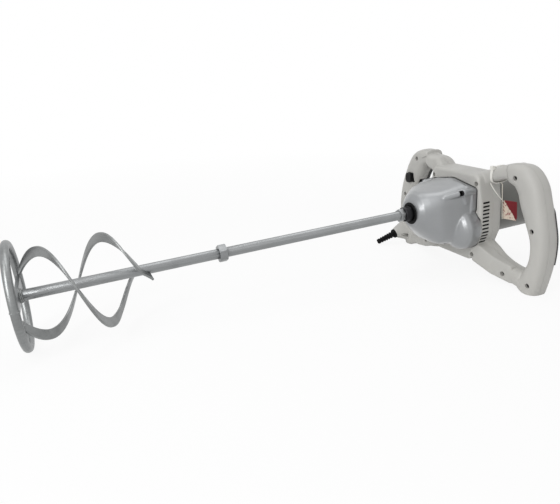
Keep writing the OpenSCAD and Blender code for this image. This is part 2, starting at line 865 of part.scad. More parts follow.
// Section of the stator: a ring with two poles, bored for the armature
module stator_section() {
    difference() {
        union() {
            difference() {
                circle(r = motor_in_r - 0.1, $fn = 96);
                circle(r = motor_in_r - 7, $fn = 96);
            }
            intersection() {
                circle(r = motor_in_r - 3, $fn = 96);
                square([2 * motor_in_r, 30], center = true);
            }
        }
        circle(r = armature_r + 0.8, $fn = 96);
    }
}

module stator_core() {
    lay_down() color([0.35, 0.36, 0.38]) axis_at(0, -motor_drop)
        plate_x(core_x, core_x + core_len)
            stator_section();
}

module field_coils() {
    lay_down() color([0.60, 0.32, 0.14]) axis_at(0, -motor_drop)
        plate_x(core_x - 8, core_x + core_len + 8)
            difference() {
                circle(r = motor_in_r - 7.6, $fn = 96);
                circle(r = armature_r + 1.6, $fn = 96);
                square([2 * motor_in_r, 31.2], center = true);
                square([8, 2 * motor_in_r], center = true);
            }
}

module brush_holders() {
    x0 = commutator_x + commutator_len / 2;
    lay_down() color([0.62, 0.52, 0.25]) axis_at(0, -motor_drop) for (side = [0, 180])
        rotate([side, 0, 0])
            difference() {
                translate([x0 - 5.5, commutator_r + 1.5, -5])
                    cube([11, motor_in_r - commutator_r - 2, 10]);
                translate([x0 - 4, commutator_r, -3.3])
                    cube([8, motor_in_r, 6.6]);
            }
}

module carbon_brushes() {
    x0 = commutator_x + commutator_len / 2;
    lay_down() color([0.12, 0.12, 0.13]) axis_at(0, -motor_drop) for (side = [0, 180])
        rotate([side, 0, 0])
            difference() {
                translate([x0 - 3.8, commutator_r - 1, -3.1])
                    cube([7.6, 17, 6.2]);
                rod_x(commutator_r + 0.15, x0 - 10, x0 + 10);
            }
}

module brush_caps() {
    x0 = commutator_x + commutator_len / 2;
    lay_down() color([0.05, 0.05, 0.055]) axis_at(0, -motor_drop) translate([x0, 0, 0]) for (side = [-1, 1])
        rotate([side * 90, 0, 0])
            difference() {
                translate([0, 0, motor_in_r])
                    cylinder(r = 6.9, h = motor_wall - 0.4, $fn = 48);
                translate([-5, -0.7, motor_r - 1.8])
                    cube([10, 1.4, 4]);
            }
}

module air_baffle() {
    lay_down() color([0.15, 0.15, 0.16]) axis_at(0, -motor_drop)
        turned([[fan_r - 6, fan_x + fan_w + 1], [motor_in_r - 0.1, fan_x + fan_w + 1],
            [motor_in_r - 0.1, fan_x + fan_w + 5], [fan_r - 3, fan_x + fan_w + 5], [fan_r - 6, fan_x + fan_w + 3]]);
}

// Dark screens behind the vent slots, lying on the inside of both side walls
module vent_screens() {
    out = body_half_w - shell_wall - 0.3;
    lay_down() color([0.06, 0.06, 0.065]) for (side = [-1, 1])
        plate_x(body_front + 11.5, body_rear - 12)
            scale([side, 1])
                polygon([[out - 3.7, 32], [out, 9], [out, -33], [out - 0.8, -37], [out - 7.7, -53],
                    [out - 9.2, -53], [out - 2.3, -37], [out - 1.5, -33], [out - 1.5, 9], [out - 5.2, 32]]);
}

// Involute of an angle, in degrees
function inv(a) = tan(a) * 180 / PI - a;

// Half angle of a shifted tooth at a radius
function tooth_half(m, z, shift, r) =
    let (rp = m * z / 2, rb = rp * cos(gear_angle))
    let (half = (PI * m / 2 + 2 * shift * m * tan(gear_angle) - backlash / 2) / (2 * rp) * 180 / PI)
    half + inv(gear_angle) - inv(acos(rb / max(r, rb)));

// Section of a spur gear with its first tooth centred at an angle
module gear_section(m, z, shift, phase) {
    rp = m * z / 2;
    rb = rp * cos(gear_angle);
    tip = rp + m * (gear_addendum + shift);
    root = rp - m * (gear_dedendum - shift);
    low = max(rb, root);
    radii = [for (i = [0 : 4]) low + (tip - low) * i / 4];
    root_half = max(tooth_half(m, z, shift, low) - (root < rb ? 3 : 0), 2);
    flank = concat([[root, root_half]], [for (r = radii) [r, tooth_half(m, z, shift, r)]]);
    back = [for (i = [len(flank) - 1 : -1 : 0]) flank[i]];
    points = [for (k = [0 : z - 1])
        let (mid = phase + 360 * k / z)
        each concat([for (f = flank) f[0] * [cos(mid - f[1]), sin(mid - f[1])]],
            [for (f = back) f[0] * [cos(mid + f[1]), sin(mid + f[1])]])];
    polygon(points);
}

module spindle() {
    lay_down() color([0.55, 0.56, 0.58]) difference() {
        turned([[rod_r + fit, -nose_len], [nose_d / 2 - 1, -nose_len], [nose_d / 2, 1 - nose_len],
            [nose_d / 2, front_brg_x - 1], [front_brg_d / 2 + 1.5, front_brg_x - 1],
            [front_brg_d / 2 + 1.5, front_brg_x], [front_brg_d / 2, front_brg_x],
            [front_brg_d / 2, front_brg_x + front_brg_w + 1], [8, front_brg_x + front_brg_w + 1],
            [8, inner_plate_x - 0.4], [rear_spindle_r, inner_plate_x - 0.4],
            [rear_spindle_r, inner_plate_x + inner_plate_w],
            [rear_spindle_r - 0.8, inner_plate_x + inner_plate_w + 0.8],
            [0, inner_plate_x + inner_plate_w + 0.8], [0, thread_len - nose_len],
            [rod_r + fit, thread_len - nose_len]]);
        for (side = [-1, 1])
            translate([-nose_len - 1, -20, side > 0 ? nose_af / 2 : -nose_af / 2 - 10])
                cube([nose_len - 2, 40, 10]);
    }
}

module spindle_gear() {
    lay_down() color([0.50, 0.51, 0.53]) difference() {
        union() {
            plate_x(stage2_x, stage2_x + stage2_len)
                gear_section(stage2_m, stage2_wheel, -stage2_shift, to_lay);
            rod_x(14, stage2_x - 5, stage2_x + 1);
        }
        rod_x(8, stage2_x - 10, stage2_x + stage2_len + 1);
    }
}

module spindle_circlip() {
    lay_down() color([0.3, 0.3, 0.32]) difference() {
        tube_x(10.5, 8, stage2_x - 6.6, stage2_x - 5.2);
        translate([stage2_x - 8, -2, 0])
            cube([4, 4, 20]);
    }
}

module layshaft() {
    lay_down() color([0.55, 0.56, 0.58]) axis_at(lay_y, lay_z) {
        rod_x(small_bore_r, lay_front_x + 0.3, stage2_x + 0.2);
        plate_x(stage2_x + 0.2, stage2_x + stage2_len + 0.4)
            gear_section(stage2_m, stage2_pinion, stage2_shift, to_lay + 180 + 180 / stage2_pinion);
        rod_x(6, stage2_x + stage2_len + 0.4, stage1_x + stage1_len + 0.4);
        rod_x(small_bore_r, stage1_x + stage1_len + 0.4, plate_x + small_brg_w - 0.2);
    }
}

module layshaft_wheel() {
    lay_down() color([0.50, 0.51, 0.53]) axis_at(lay_y, lay_z) difference() {
        plate_x(stage1_x, stage1_x + stage1_len)
            gear_section(stage1_m, stage1_wheel, -stage1_shift, lay_to_motor);
        rod_x(6, stage1_x - 1, stage1_x + stage1_len + 1);
        tube_x(22, 12, stage1_x + stage1_len - 2, stage1_x + stage1_len + 1);
    }
}

module armature_shaft() {
    x2 = core_x - winding_over - 1;
    lay_down() color([0.58, 0.59, 0.61]) axis_at(0, -motor_drop) {
        plate_x(stage1_x, stage1_x + stage1_len + 1)
            gear_section(stage1_m, stage1_pinion, stage1_shift, lay_to_motor + 180 + 180 / stage1_pinion);
        rod_x(4, stage1_x + stage1_len + 1, motor_brg_x - 2);
        rod_x(motor_shaft_r, motor_brg_x - 2, fan_x + fan_w + 1);
        rod_x(7, fan_x + fan_w + 1, commutator_x + commutator_len + 4);
        rod_x(small_bore_r, commutator_x + commutator_len + 4, rear_brg_x + small_brg_w);
    }
}

module armature_core() {
    lay_down() color([0.42, 0.43, 0.45]) axis_at(0, -motor_drop)
        plate_x(core_x, core_x + core_len)
            difference() {
                circle(r = armature_r, $fn = 96);
                circle(r = 7, $fn = 96);
                for (a = [0 : 30 : 330])
                    rotate(a)
                        translate([armature_r - 9, -1.6])
                            square([12, 3.2]);
            }
}

// End turns in front of and behind the core, and the wires that fill its slots
module armature_winding() {
    r1 = armature_r - 3.5;
    lay_down() color([0.62, 0.30, 0.12]) axis_at(0, -motor_drop) difference() {
        union() {
            turned([[7, core_x - winding_over], [r1 - 5, core_x - winding_over], [r1, core_x - winding_over + 4],
                [r1, core_x - 0.2], [7, core_x - 0.2]]);
            turned([[7, core_x + core_len + 0.2], [r1, core_x + core_len + 0.2],
                [r1, core_x + core_len + winding_over - 4], [r1 - 7, core_x + core_len + winding_over],
                [7, core_x + core_len + winding_over]]);
            plate_x(core_x - 1, core_x + core_len + 1)
                for (a = [0 : 30 : 330])
                    rotate(a)
                        translate([armature_r - 8.8, -1.4])
                            square([6, 2.8]);
        }
        rod_x(7, core_x - 20, core_x + core_len + 20);
    }
}

module commutator() {
    lay_down() color([0.72, 0.45, 0.22]) axis_at(0, -motor_drop)
        plate_x(commutator_x, commutator_x + commutator_len)
            difference() {
                circle(r = commutator_r, $fn = 96);
                circle(r = 7, $fn = 96);
                for (a = [0 : 15 : 345])
                    rotate(a)
                        translate([commutator_r - 1, -0.3])
                            square([3, 0.6]);
            }
}

module cooling_fan() {
    lay_down() color([0.12, 0.12, 0.13]) axis_at(0, -motor_drop) {
        tube_x(11, motor_shaft_r, fan_x, fan_x + fan_w);
        tube_x(fan_r, 10.5, fan_x, fan_x + 2);
        for (a = [0 : 30 : 330])
            rotate([a, 0, 0])
                translate([fan_x + 1, -0.9, fan_r - 20])
                    cube([fan_w - 1, 1.8, 19.5]);
    }
}

module near_grip_pad() {
    lay_down() color([0.23, 0.23, 0.235])
        grip_pad(near_grip, near);
}

module far_grip_pad() {
    lay_down() color([0.23, 0.23, 0.235])
        grip_pad(far_grip, far);
}

// Soft pad that wraps the rear half of a grip
module grip_pad(line, side) {
    difference() {
        intersection() {
            limb(line, side, grip_x, grip_depth, -pad_t, grip_round, 22, 18, cap_len);
            plate_x(grip_x, grip_x + 40)
                scale([side, 1])
                    polygon([[96, 60], [118, 44], [186, -8], [196, -64], [120, -64], [96, -50]]);
            translate([grip_x, 0, -100])
                linear_extrude(200)
                    scale([1, side])
                        polygon([[pad_inner, 90], [pad_inner, 124], [pad_outer, 168], [pad_outer, 190], [40, 190],
                            [40, 90]]);
        }
        limb(line, side, grip_x, grip_depth, 0, grip_round, 22, 18, cap_len);
        limb(side == near ? near_upper_arm : far_upper_arm, side, arm_x, arm_depth, 0, 3, 6, 18, 0);
        translate([dial_at.x - dial_r - gap, dial_at.y - 20, dial_at.z - dial_t / 2 - gap])
            cube([2 * dial_r + 2 * gap, 20 + dial_r + gap, dial_t + 2 * gap]);
    }
}

// Switch that carries the trigger between two ears
module switch_body() {
    ear_x = trigger_w / 2 + gap;
    lay_down() color([0.13, 0.13, 0.14]) difference() {
        union() {
            translate([trigger_x - ear_x - ear_t, switch_y, -56])
                cube([2 * (ear_x + ear_t), 14, 36]);
            for (x = [trigger_x - ear_x - ear_t, trigger_x + ear_x])
                plate_x(x, x + ear_t)
                    polygon([[142.9, -19], [145.7, -25], [148.1, -31], [150, -31], [150, -20], [144.6, -18],
                        [144.6, -4], [143.5, 0], [143.5, 18.5], [136.5, 18.5], [136.5, 2], [142, -10]]);
        }
        translate([0, trigger_pivot.y, trigger_pivot.z])
            rod_x(1.5, trigger_x - 12, trigger_x + 12);
    }
}

module trigger() {
    top = trigger_pivot.z;
    low = top - trigger_len;
    proud = trigger_out - 6;
    lay_down() color([0.045, 0.045, 0.05])
        plate_x(trigger_x - trigger_w / 2, trigger_x + trigger_w / 2)
            difference() {
                union() {
                    translate([trigger_pivot.y, top])
                        circle(r = 3.4, $fn = 48);
                    polygon([[trigger_pivot.y, top + 3.3], [120.5 - proud, top + 1], [118 - proud, top - 2],
                        [117.6 - proud, top - 7], [121 - proud, top - 15], [125.5 - proud, top - 26],
                        [130.5 - proud, top - 37], [134 - proud, low + 4], [138 - proud, low], [141, low + 3],
                        [141, top - 37], [136, top - 24], [132, top - 12], [134, top - 5],
                        [trigger_pivot.y, top - 3.3]]);
                }
                translate([trigger_pivot.y, top])
                    circle(r = 1.5 + fit, $fn = 48);
            }
}

module trigger_pin() {
    reach = trigger_w / 2 + gap + ear_t;
    lay_down() color([0.6, 0.6, 0.62]) translate([0, trigger_pivot.y, trigger_pivot.z])
        rod_x(1.5, trigger_x - reach, trigger_x + reach);
}

// Lock button: an eight-cornered cap that slides into the grip's front
module lock_button() {
    c = 3.5;
    w = button_w / 2;
    h = button_h / 2;
    lay_down() color([0.04, 0.04, 0.045]) translate([0, button_at.y, button_at.z]) {
        plate_x(button_at.x - button_out, button_at.x + 4.9)
            polygon([[-w + c, -h], [w - c, -h], [w, -h + c], [w, h - c], [w - c, h], [-w + c, h], [-w, h - c],
                [-w, -h + c]]);
        plate_x(button_at.x + 4.8, button_at.x + 6.1)
            translate([-2, -button_h / 2 - 1.5])
                square([6, button_h + 3]);
    }
}

// Thumb wheel with a knurled rim, turning about an upright axis
module speed_dial() {
    lay_down() color([0.05, 0.05, 0.055]) translate([dial_at.x, dial_at.y, dial_at.z - dial_t / 2])
        difference() {
            cylinder(r = dial_r, h = dial_t, $fn = 96);
            for (a = [0 : 20 : 340])
                rotate(a)
                    translate([dial_r, 0, -1])
                        cylinder(r = 0.5, h = dial_t + 2, $fn = 24);
        }
}

module speed_control_module() {
    lay_down() color([0.10, 0.12, 0.11]) translate([arm_x - 12, 60, 54.5])
        cube([18, 19, 8]);
}

// Clamp that grips the cord behind the gland
module cord_clamp() {
    lay_down() color([0.12, 0.12, 0.13]) gland_axis()
        difference() {
            translate([-5, -6.5, -32])
                cube([10, 13, 8]);
            translate([0, 0, -40])
                cylinder(r = cord_bore_d / 2, h = 30, $fn = 96);
        }
}

module cord_gland() {
    lay_down() color([0.04, 0.04, 0.045]) gland_axis()
        difference() {
            union() {
                cylinder(r = gland_d / 2, h = gland_flange_t, $fn = 96);
                translate([0, 0, -gland_tube])
                    cylinder(r = cord_bore_d / 2 + 0.9, h = gland_tube + 1, $fn = 96);
            }
            translate([0, 0, -30])
                cylinder(r = cord_bore_d / 2, h = 60, $fn = 96);
        }
}

// Tapered sleeve with ribs round the cord
module cord_sleeve() {
    ribs = 6;
    r0 = sleeve_d / 2;
    r1 = r0 - 1.2;
    pitch = sleeve_len / (ribs + 1);
    profile = concat([[cord_bore_d / 2, 0], [r0 + 0.6, 0]],
        [for (i = [0 : ribs - 1])
            let (r = r0 + (r1 - r0) * i / ribs, z = pitch * (i + 0.4))
            each [[r + 0.6, z], [r - 0.7, z + 0.3], [r - 0.7, z + pitch * 0.6], [r + 0.3, z + pitch * 0.6 + 0.3]]],
        [[r1, sleeve_len], [cord_bore_d / 2, sleeve_len]]);
    lay_down() color([0.04, 0.04, 0.045]) gland_axis()
        translate([0, 0, gland_flange_t])
            rotate_extrude($fn = 96)
                polygon(profile);
}

// Cable tie round the near upper arm, with its head on the front
module cable_tie() {
    deep = 2 * arm_depth + 2 * tie_t + 0.4;
    lay_down() color([0.92, 0.91, 0.88]) {
        translate([arm_x, near * tie_at.x, tie_at.y])
            difference() {
                cube([deep, tie_w, tie_high], center = true);
                cube([deep - 2 * tie_t, tie_w + 2, tie_high - 2 * tie_t], center = true);
            }
        translate([arm_x - deep / 2 - 3, near * tie_at.x - 3, tie_at.y - tie_high / 2 - 1])
            cube([4, 6, 6]);
    }
}

// Blank tag that hangs from the tie on a string
module hang_tag() {
    lay_down() color([0.45, 0.08, 0.09]) {
        translate([tag_at.x, near * tag_at.y - 26, tag_at.z])
            cube([0.8, 26, 22]);
        hull() {
            knob_at([tag_at.x + 0.4, near * tag_at.y - 3, tag_at.z + 21], 0.7);
            knob_at([arm_x, near * tie_at.x, tie_at.y - tie_high / 2 - 0.7], 0.7);
        }
    }
}

module upper_rod() {
    hex0 = -nose_len - rod_hex_len;
    lay_down() color([0.56, 0.565, 0.57]) {
        rod_x(rod_r, -coupling_at, thread_len - nose_len - 1);
        difference() {
            hex_x(rod_hex_af, hex0, -nose_len);
            tube_x(20, rod_hex_af / 2 + 0.7, hex0 - 1, hex0 + 0.8);
        }
    }
}

module coupling_nut() {
    x0 = -coupling_at - coupling_len / 2;
    lay_down() color([0.58, 0.585, 0.59]) difference() {
        hex_x(hex_af, x0, x0 + coupling_len);
        rod_x(rod_r + fit, x0 - 1, x0 + coupling_len + 1);
        tube_x(20, hex_af / 2 + 0.9, x0 - 1, x0 + 0.8);
        tube_x(20, hex_af / 2 + 0.9, x0 + coupling_len - 0.8, x0 + coupling_len + 1);
    }
}

module lower_rod() {
    lay_down() color([0.54, 0.545, 0.55])
        rod_x(rod_r, ring_x - spoke_t / 2 - 2, -coupling_at - 0.2);
}

// Share of the way in towards the rod at a distance from the ring
function tuck(s) = pow(max(0, (min(s, ribbon_len) - ribbon_tuck) / (ribbon_len - ribbon_tuck)), 2);

// Middle radius of a ribbon: from the ring's inside, widest on its way, then down to the rod
function ribbon_mid(s, dip) =
    let (low = rod_r + ribbon_w / 2 - weld_sink)
    let (grown = (ribbon_r - ring_in_r) * (1 - cos(min(180, 180 * s / ribbon_tuck))) / 2)
    let (wide = ring_in_r + grown - dip * sin(min(180, 180 * max(0, s) / 60)) - ribbon_w / 2)
    wide + (low - wide) * tuck(s);

// Point of a ribbon's middle line
function ribbon_at(s, start, twist, extra, dip) =
    let (late = pow(max(0, s - ribbon_tuck) / (ribbon_len - ribbon_tuck), 5),
        a = start - twist * s - extra * late, r = ribbon_mid(s, dip))
    [ring_x + s, -r * cos(a), r * sin(a)];

module ribbon(start, twist, extra, dip, tail) {
    first = spoke_t / 2 + ribbon_t / 2;
    total = ribbon_len + tail - first;
    rings = [for (i = [0 : ribbon_steps])
        let (s = first + total * i / ribbon_steps)
        let (p = ribbon_at(s, start, twist, extra, dip))
        let (q = ribbon_at(s + 0.5, start, twist, extra, dip) - ribbon_at(s - 0.5, start, twist, extra, dip))
        let (t = unit(q), out = unit([0, p.y, p.z]),
            lean = ribbon_lean * pow(min(s, ribbon_len) / ribbon_len, 6))
        let (w0 = unit(out - (out * t) * t), b0 = cross(t, w0))
        let (w = w0 * cos(lean) - b0 * sin(lean), b = b0 * cos(lean) + w0 * sin(lean))
        [p + w * ribbon_w / 2 + b * ribbon_t / 2, p - w * ribbon_w / 2 + b * ribbon_t / 2,
            p - w * ribbon_w / 2 - b * ribbon_t / 2, p + w * ribbon_w / 2 - b * ribbon_t / 2]];
    skin(rings);
}

module ribbon_a() {
    lay_down() color([0.55, 0.555, 0.56])
        ribbon(ribbon_a_start, ribbon_a_twist, 30, 1, ribbon_tail);
}

module ribbon_b() {
    lay_down() color([0.53, 0.535, 0.54])
        ribbon(ribbon_b_start, ribbon_b_twist, 0, 6, 0);
}

module end_ring() {
    lay_down() color([0.57, 0.575, 0.58])
        translate([ring_x, 0, 0])
            rotate([0, 90, 0])
                rotate_extrude($fn = 128)
                    translate([ring_mid_r, 0])
                        circle(r = ring_bar_r, $fn = 48);
}

module ring_cross_bar() {
    lay_down() color([0.55, 0.555, 0.56]) difference() {
        translate([ring_x - spoke_t / 2, -ring_mid_r, -spoke_w / 2])
            cube([spoke_t, 2 * ring_mid_r, spoke_w]);
        rod_x(rod_r, ring_x - 20, ring_x + 20);
        translate([ring_x, 0, 0])
            rotate([0, 90, 0])
                rotate_extrude($fn = 128)
                    translate([ring_mid_r, 0])
                        circle(r = ring_bar_r, $fn = 48);
        tube_x(ring_mid_r + 20, ring_mid_r - 1, ring_x - 20, ring_x + 20);
    }
}

frame_front_shell();
frame_rear_shell();
frame_screws();
gear_case();
gear_case_screws();
inner_bearing_plate();
gear_plate();
nose_seal();
spindle_front_bearing();
spindle_rear_bearing();
layshaft_bearings();
armature_front_bearing();
armature_rear_bearing();
motor_housing();
motor_rear_cover();
rear_cover_screws();
stator_core();
field_coils();
brush_holders();
carbon_brushes();
brush_caps();
air_baffle();
vent_screens();
spindle();
spindle_gear();
spindle_circlip();
layshaft();
layshaft_wheel();
armature_shaft();
armature_core();
armature_winding();
commutator();
cooling_fan();
near_grip_pad();
far_grip_pad();
switch_body();
trigger();
trigger_pin();
lock_button();
speed_dial();
speed_control_module();
cord_clamp();
cord_gland();
cord_sleeve();
cable_tie();
hang_tag();
upper_rod();
coupling_nut();
lower_rod();
ribbon_a();
ribbon_b();
end_ring();
ring_cross_bar();
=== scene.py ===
"""Dresses a hand held mixing drill: two D-handles, a long rod and a ribbon paddle with an end ring.

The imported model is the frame. Sizes below are in millimetres in the machine's own axes: X runs from
the paddle to the motor with 0 at the spindle's nose, Y to the far handle and Z up. Bench.row() lays
them on the floor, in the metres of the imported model.
"""
import logging
import math
from dataclasses import dataclass, field
from enum import Enum
from typing import Dict, List, Optional, Sequence, Tuple

import bmesh
import bpy
import numpy as np
from mathutils import Matrix, Vector


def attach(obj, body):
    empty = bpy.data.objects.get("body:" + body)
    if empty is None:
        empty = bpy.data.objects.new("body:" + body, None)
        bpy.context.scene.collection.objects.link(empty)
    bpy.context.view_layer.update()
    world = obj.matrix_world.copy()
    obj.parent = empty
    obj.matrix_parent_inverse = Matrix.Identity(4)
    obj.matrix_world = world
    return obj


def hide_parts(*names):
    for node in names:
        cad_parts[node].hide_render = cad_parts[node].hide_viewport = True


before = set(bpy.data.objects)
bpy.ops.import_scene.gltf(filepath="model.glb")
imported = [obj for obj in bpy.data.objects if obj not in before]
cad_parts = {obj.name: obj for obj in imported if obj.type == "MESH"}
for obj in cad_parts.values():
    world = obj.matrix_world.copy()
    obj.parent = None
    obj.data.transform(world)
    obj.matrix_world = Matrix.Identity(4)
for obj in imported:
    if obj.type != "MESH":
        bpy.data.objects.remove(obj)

LOG = logging.getLogger("mixing_drill")
Colour = Tuple[float, float, float]
Surface = Tuple[np.ndarray, List[List[int]]]
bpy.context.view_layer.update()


@dataclass(frozen=True)
class Bench:
    """How the machine lies on the floor: its tilt and the place of its nose."""

    tilt: float = math.radians(3.38285)
    mid_x: float = -164.772
    floor_z: float = -103.522

    def row(self, points: np.ndarray) -> np.ndarray:
        """Turns machine millimetres into row metres.

        x' = x cos t - z sin t - mid_x and z' = x sin t + z cos t - floor_z.

        Args:
            points: Array of points, the last axis x, y, z.

        Returns:
            Array of the same shape in metres.
        """
        p = np.asarray(points, dtype=float)
        c, s = math.cos(self.tilt), math.sin(self.tilt)
        x, y, z = p[..., 0], p[..., 1], p[..., 2]
        return np.stack([x * c - z * s - self.mid_x, y, x * s + z * c - self.floor_z], axis=-1) * 0.001

    def back(self, points: np.ndarray) -> np.ndarray:
        """Turns row metres back into machine millimetres: the reverse of row().

        Args:
            points: Array of points in row metres.

        Returns:
            Array of the same shape in machine millimetres.
        """
        p = np.asarray(points, dtype=float) * 1000.0
        c, s = math.cos(self.tilt), math.sin(self.tilt)
        x, z = p[..., 0] + self.mid_x, p[..., 2] + self.floor_z
        return np.stack([x * c + z * s, p[..., 1], z * c - x * s], axis=-1)

    def way(self, vector: Sequence[float]) -> np.ndarray:
        """Turns a machine direction into a row direction of unit length."""
        x, y, z = vector
        c, s = math.cos(self.tilt), math.sin(self.tilt)
        v = np.array([x * c - z * s, y, x * s + z * c])
        return v / np.linalg.norm(v)


BENCH = Bench()
LAY_AXIS = (-31.3961, -30.4688)  # Y and Z of the layshaft's axis


# Colours are written as they are seen, 0 to 255, and turned into light
def seen(red: float, green: float, blue: float) -> Colour:
    """Turns a seen colour into linear light: ((c + 0.055) / 1.055) ^ 2.4."""
    c = np.array([red, green, blue]) / 255.0
    lin = np.where(c <= 0.04045, c / 12.92, ((c + 0.055) / 1.055) ** 2.4)
    return (float(lin[0]), float(lin[1]), float(lin[2]))


def angles(count: int) -> np.ndarray:
    """Angles of a full turn in even steps, the last one left out."""
    return np.linspace(0.0, 2.0 * np.pi, count, endpoint=False)


def squarish(a: np.ndarray, power: object) -> Tuple[np.ndarray, np.ndarray]:
    """Squarish round: sgn(cos a) |cos a|^power and sgn(sin a) |sin a|^power."""
    c, s = np.cos(a), np.sin(a)
    return np.sign(c) * np.abs(c) ** power, np.sign(s) * np.abs(s) ** power


def normed(rows: np.ndarray) -> np.ndarray:
    """Each row as a unit vector."""
    return rows / np.linalg.norm(rows, axis=1, keepdims=True)


def linked(name: str, data: bpy.types.ID) -> bpy.types.Object:
    """Makes an object from its data and links it to the scene."""
    thing = bpy.data.objects.new(name, data)
    bpy.context.scene.collection.objects.link(thing)
    return thing


def eye_share(tree: bpy.types.NodeTree) -> bpy.types.NodeSocket:
    """1 for light that the eye sees straight, mirrored or through glass, and 0 for the rest."""
    rays = tree.nodes.new("ShaderNodeLightPath")
    share = rays.outputs["Is Camera Ray"]
    for kind in ("Is Glossy Ray", "Is Transmission Ray"):
        larger = tree.nodes.new("ShaderNodeMath")
        larger.operation = "MAXIMUM"
        tree.links.new(share, larger.inputs[0])
        tree.links.new(rays.outputs[kind], larger.inputs[1])
        share = larger.outputs[0]
    return share


class Shade:
    """A material under construction, with short methods for the patterns used here."""

    def __init__(self, name: str) -> None:
        """Starts a material with one Principled shader.

        Args:
            name: Name of the material.
        """
        self.material = bpy.data.materials.new(name)
        self.material.use_nodes = True
        self.tree = self.material.node_tree
        self.tree.nodes.clear()
        self.out = self.tree.nodes.new("ShaderNodeOutputMaterial")
        self.bsdf = self.tree.nodes.new("ShaderNodeBsdfPrincipled")
        self.tree.links.new(self.bsdf.outputs[0], self.out.inputs[0])
        self._place = self.tree.nodes.new("ShaderNodeTexCoord").outputs["Object"]

    def put(self, socket: str, value: object) -> None:
        """Sets or links one socket of the shader."""
        target = self.bsdf.inputs[socket]
        if isinstance(value, bpy.types.NodeSocket):
            self.tree.links.new(value, target)
        elif isinstance(value, (tuple, list)):
            target.default_value = (*value, 1.0)[:4]
        else:
            target.default_value = value

    def place(self, scale: Sequence[float] = (1.0, 1.0, 1.0),
              turn: Sequence[float] = (0.0, 0.0, 0.0)) -> bpy.types.NodeSocket:
        """Object coordinates, stretched and turned."""
        node = self.tree.nodes.new("ShaderNodeMapping")
        node.inputs["Scale"].default_value = scale
        node.inputs["Rotation"].default_value = turn
        self.tree.links.new(self._place, node.inputs[0])
        return node.outputs[0]

    def noise(self, scale: float, detail: float = 3.0, rough: float = 0.5,
              where: Optional[bpy.types.NodeSocket] = None) -> bpy.types.NodeSocket:
        """Cloudy noise between 0 and 1.

        Args:
            scale: Clouds to a metre, roughly.
            detail: How many finer layers are added.
            rough: Strength of the finer layers.
            where: Coordinates to read, the object's own if left out.

        Returns:
            The noise's value.
        """
        node = self.tree.nodes.new("ShaderNodeTexNoise")
        node.inputs["Scale"].default_value = scale
        node.inputs["Detail"].default_value = detail
        node.inputs["Roughness"].default_value = rough
        self.tree.links.new(where or self._place, node.inputs["Vector"])
        return node.outputs["Fac"]

    def cells(self, scale: float, where: Optional[bpy.types.NodeSocket] = None) -> bpy.types.NodeSocket:
        """Cell pattern: distance to the nearest of scattered points."""
        node = self.tree.nodes.new("ShaderNodeTexVoronoi")
        node.inputs["Scale"].default_value = scale
        self.tree.links.new(where or self._place, node.inputs["Vector"])
        return node.outputs["Distance"]

    def ramp(self, value: bpy.types.NodeSocket,
             stops: Sequence[Tuple[float, Colour]]) -> bpy.types.NodeSocket:
        """Colour by value, through the listed stops."""
        node = self.tree.nodes.new("ShaderNodeValToRGB")
        band = node.color_ramp
        while len(band.elements) < len(stops):
            band.elements.new(0.5)
        for element, (at, colour) in zip(band.elements, stops):
            element.position = at
            element.color = (*colour, 1.0)
        self.tree.links.new(value, node.inputs[0])
        return node.outputs[0]

    def spread(self, value: bpy.types.NodeSocket, low: float, high: float,
               to_low: float, to_high: float) -> bpy.types.NodeSocket:
        """Maps a span of values onto another, clamped."""
        node = self.tree.nodes.new("ShaderNodeMapRange")
        for index, number in enumerate((low, high, to_low, to_high), start=1):
            node.inputs[index].default_value = number
        self.tree.links.new(value, node.inputs[0])
        return node.outputs[0]

    def sum(self, first: bpy.types.NodeSocket, second: object, how: str = "ADD") -> bpy.types.NodeSocket:
        """Joins two values by a named sum."""
        node = self.tree.nodes.new("ShaderNodeMath")
        node.operation = how
        self.tree.links.new(first, node.inputs[0])
        if isinstance(second, bpy.types.NodeSocket):
            self.tree.links.new(second, node.inputs[1])
        else:
            node.inputs[1].default_value = float(second)
        return node.outputs[0]

    def blend(self, first: object, second: object, share: bpy.types.NodeSocket) -> bpy.types.NodeSocket:
        """Mixes two colours by a share."""
        node = self.tree.nodes.new("ShaderNodeMix")
        node.data_type = "RGBA"
        self.tree.links.new(share, node.inputs["Factor"])
        for socket, value in ((node.inputs[6], first), (node.inputs[7], second)):
            if isinstance(value, bpy.types.NodeSocket):
                self.tree.links.new(value, socket)
            else:
                socket.default_value = (*value, 1.0)
        return node.outputs[2]

    def axis(self, name: str) -> bpy.types.NodeSocket:
        """One coordinate of the object's own place: X, Y or Z."""
        node = self.tree.nodes.new("ShaderNodeSeparateXYZ")
        self.tree.links.new(self._place, node.inputs[0])
        return node.outputs[name]

    def bump(self, height: bpy.types.NodeSocket, strength: float, deep: float,
             under: Optional[bpy.types.NodeSocket] = None) -> bpy.types.NodeSocket:
        """Adds relief to the shader's normal.

        Args:
            height: Pattern that gives the relief.
            strength: Share of the relief that is used.
            deep: Height of the relief in metres.
            under: Relief that this one is added to.

        Returns:
            The new normal.
        """
        node = self.tree.nodes.new("ShaderNodeBump")
        node.inputs["Strength"].default_value = strength
        node.inputs["Distance"].default_value = deep
        self.tree.links.new(height, node.inputs["Height"])
        if under is not None:
            self.tree.links.new(under, node.inputs["Normal"])
        self.tree.links.new(node.outputs[0], self.bsdf.inputs["Normal"])
        return node.outputs[0]


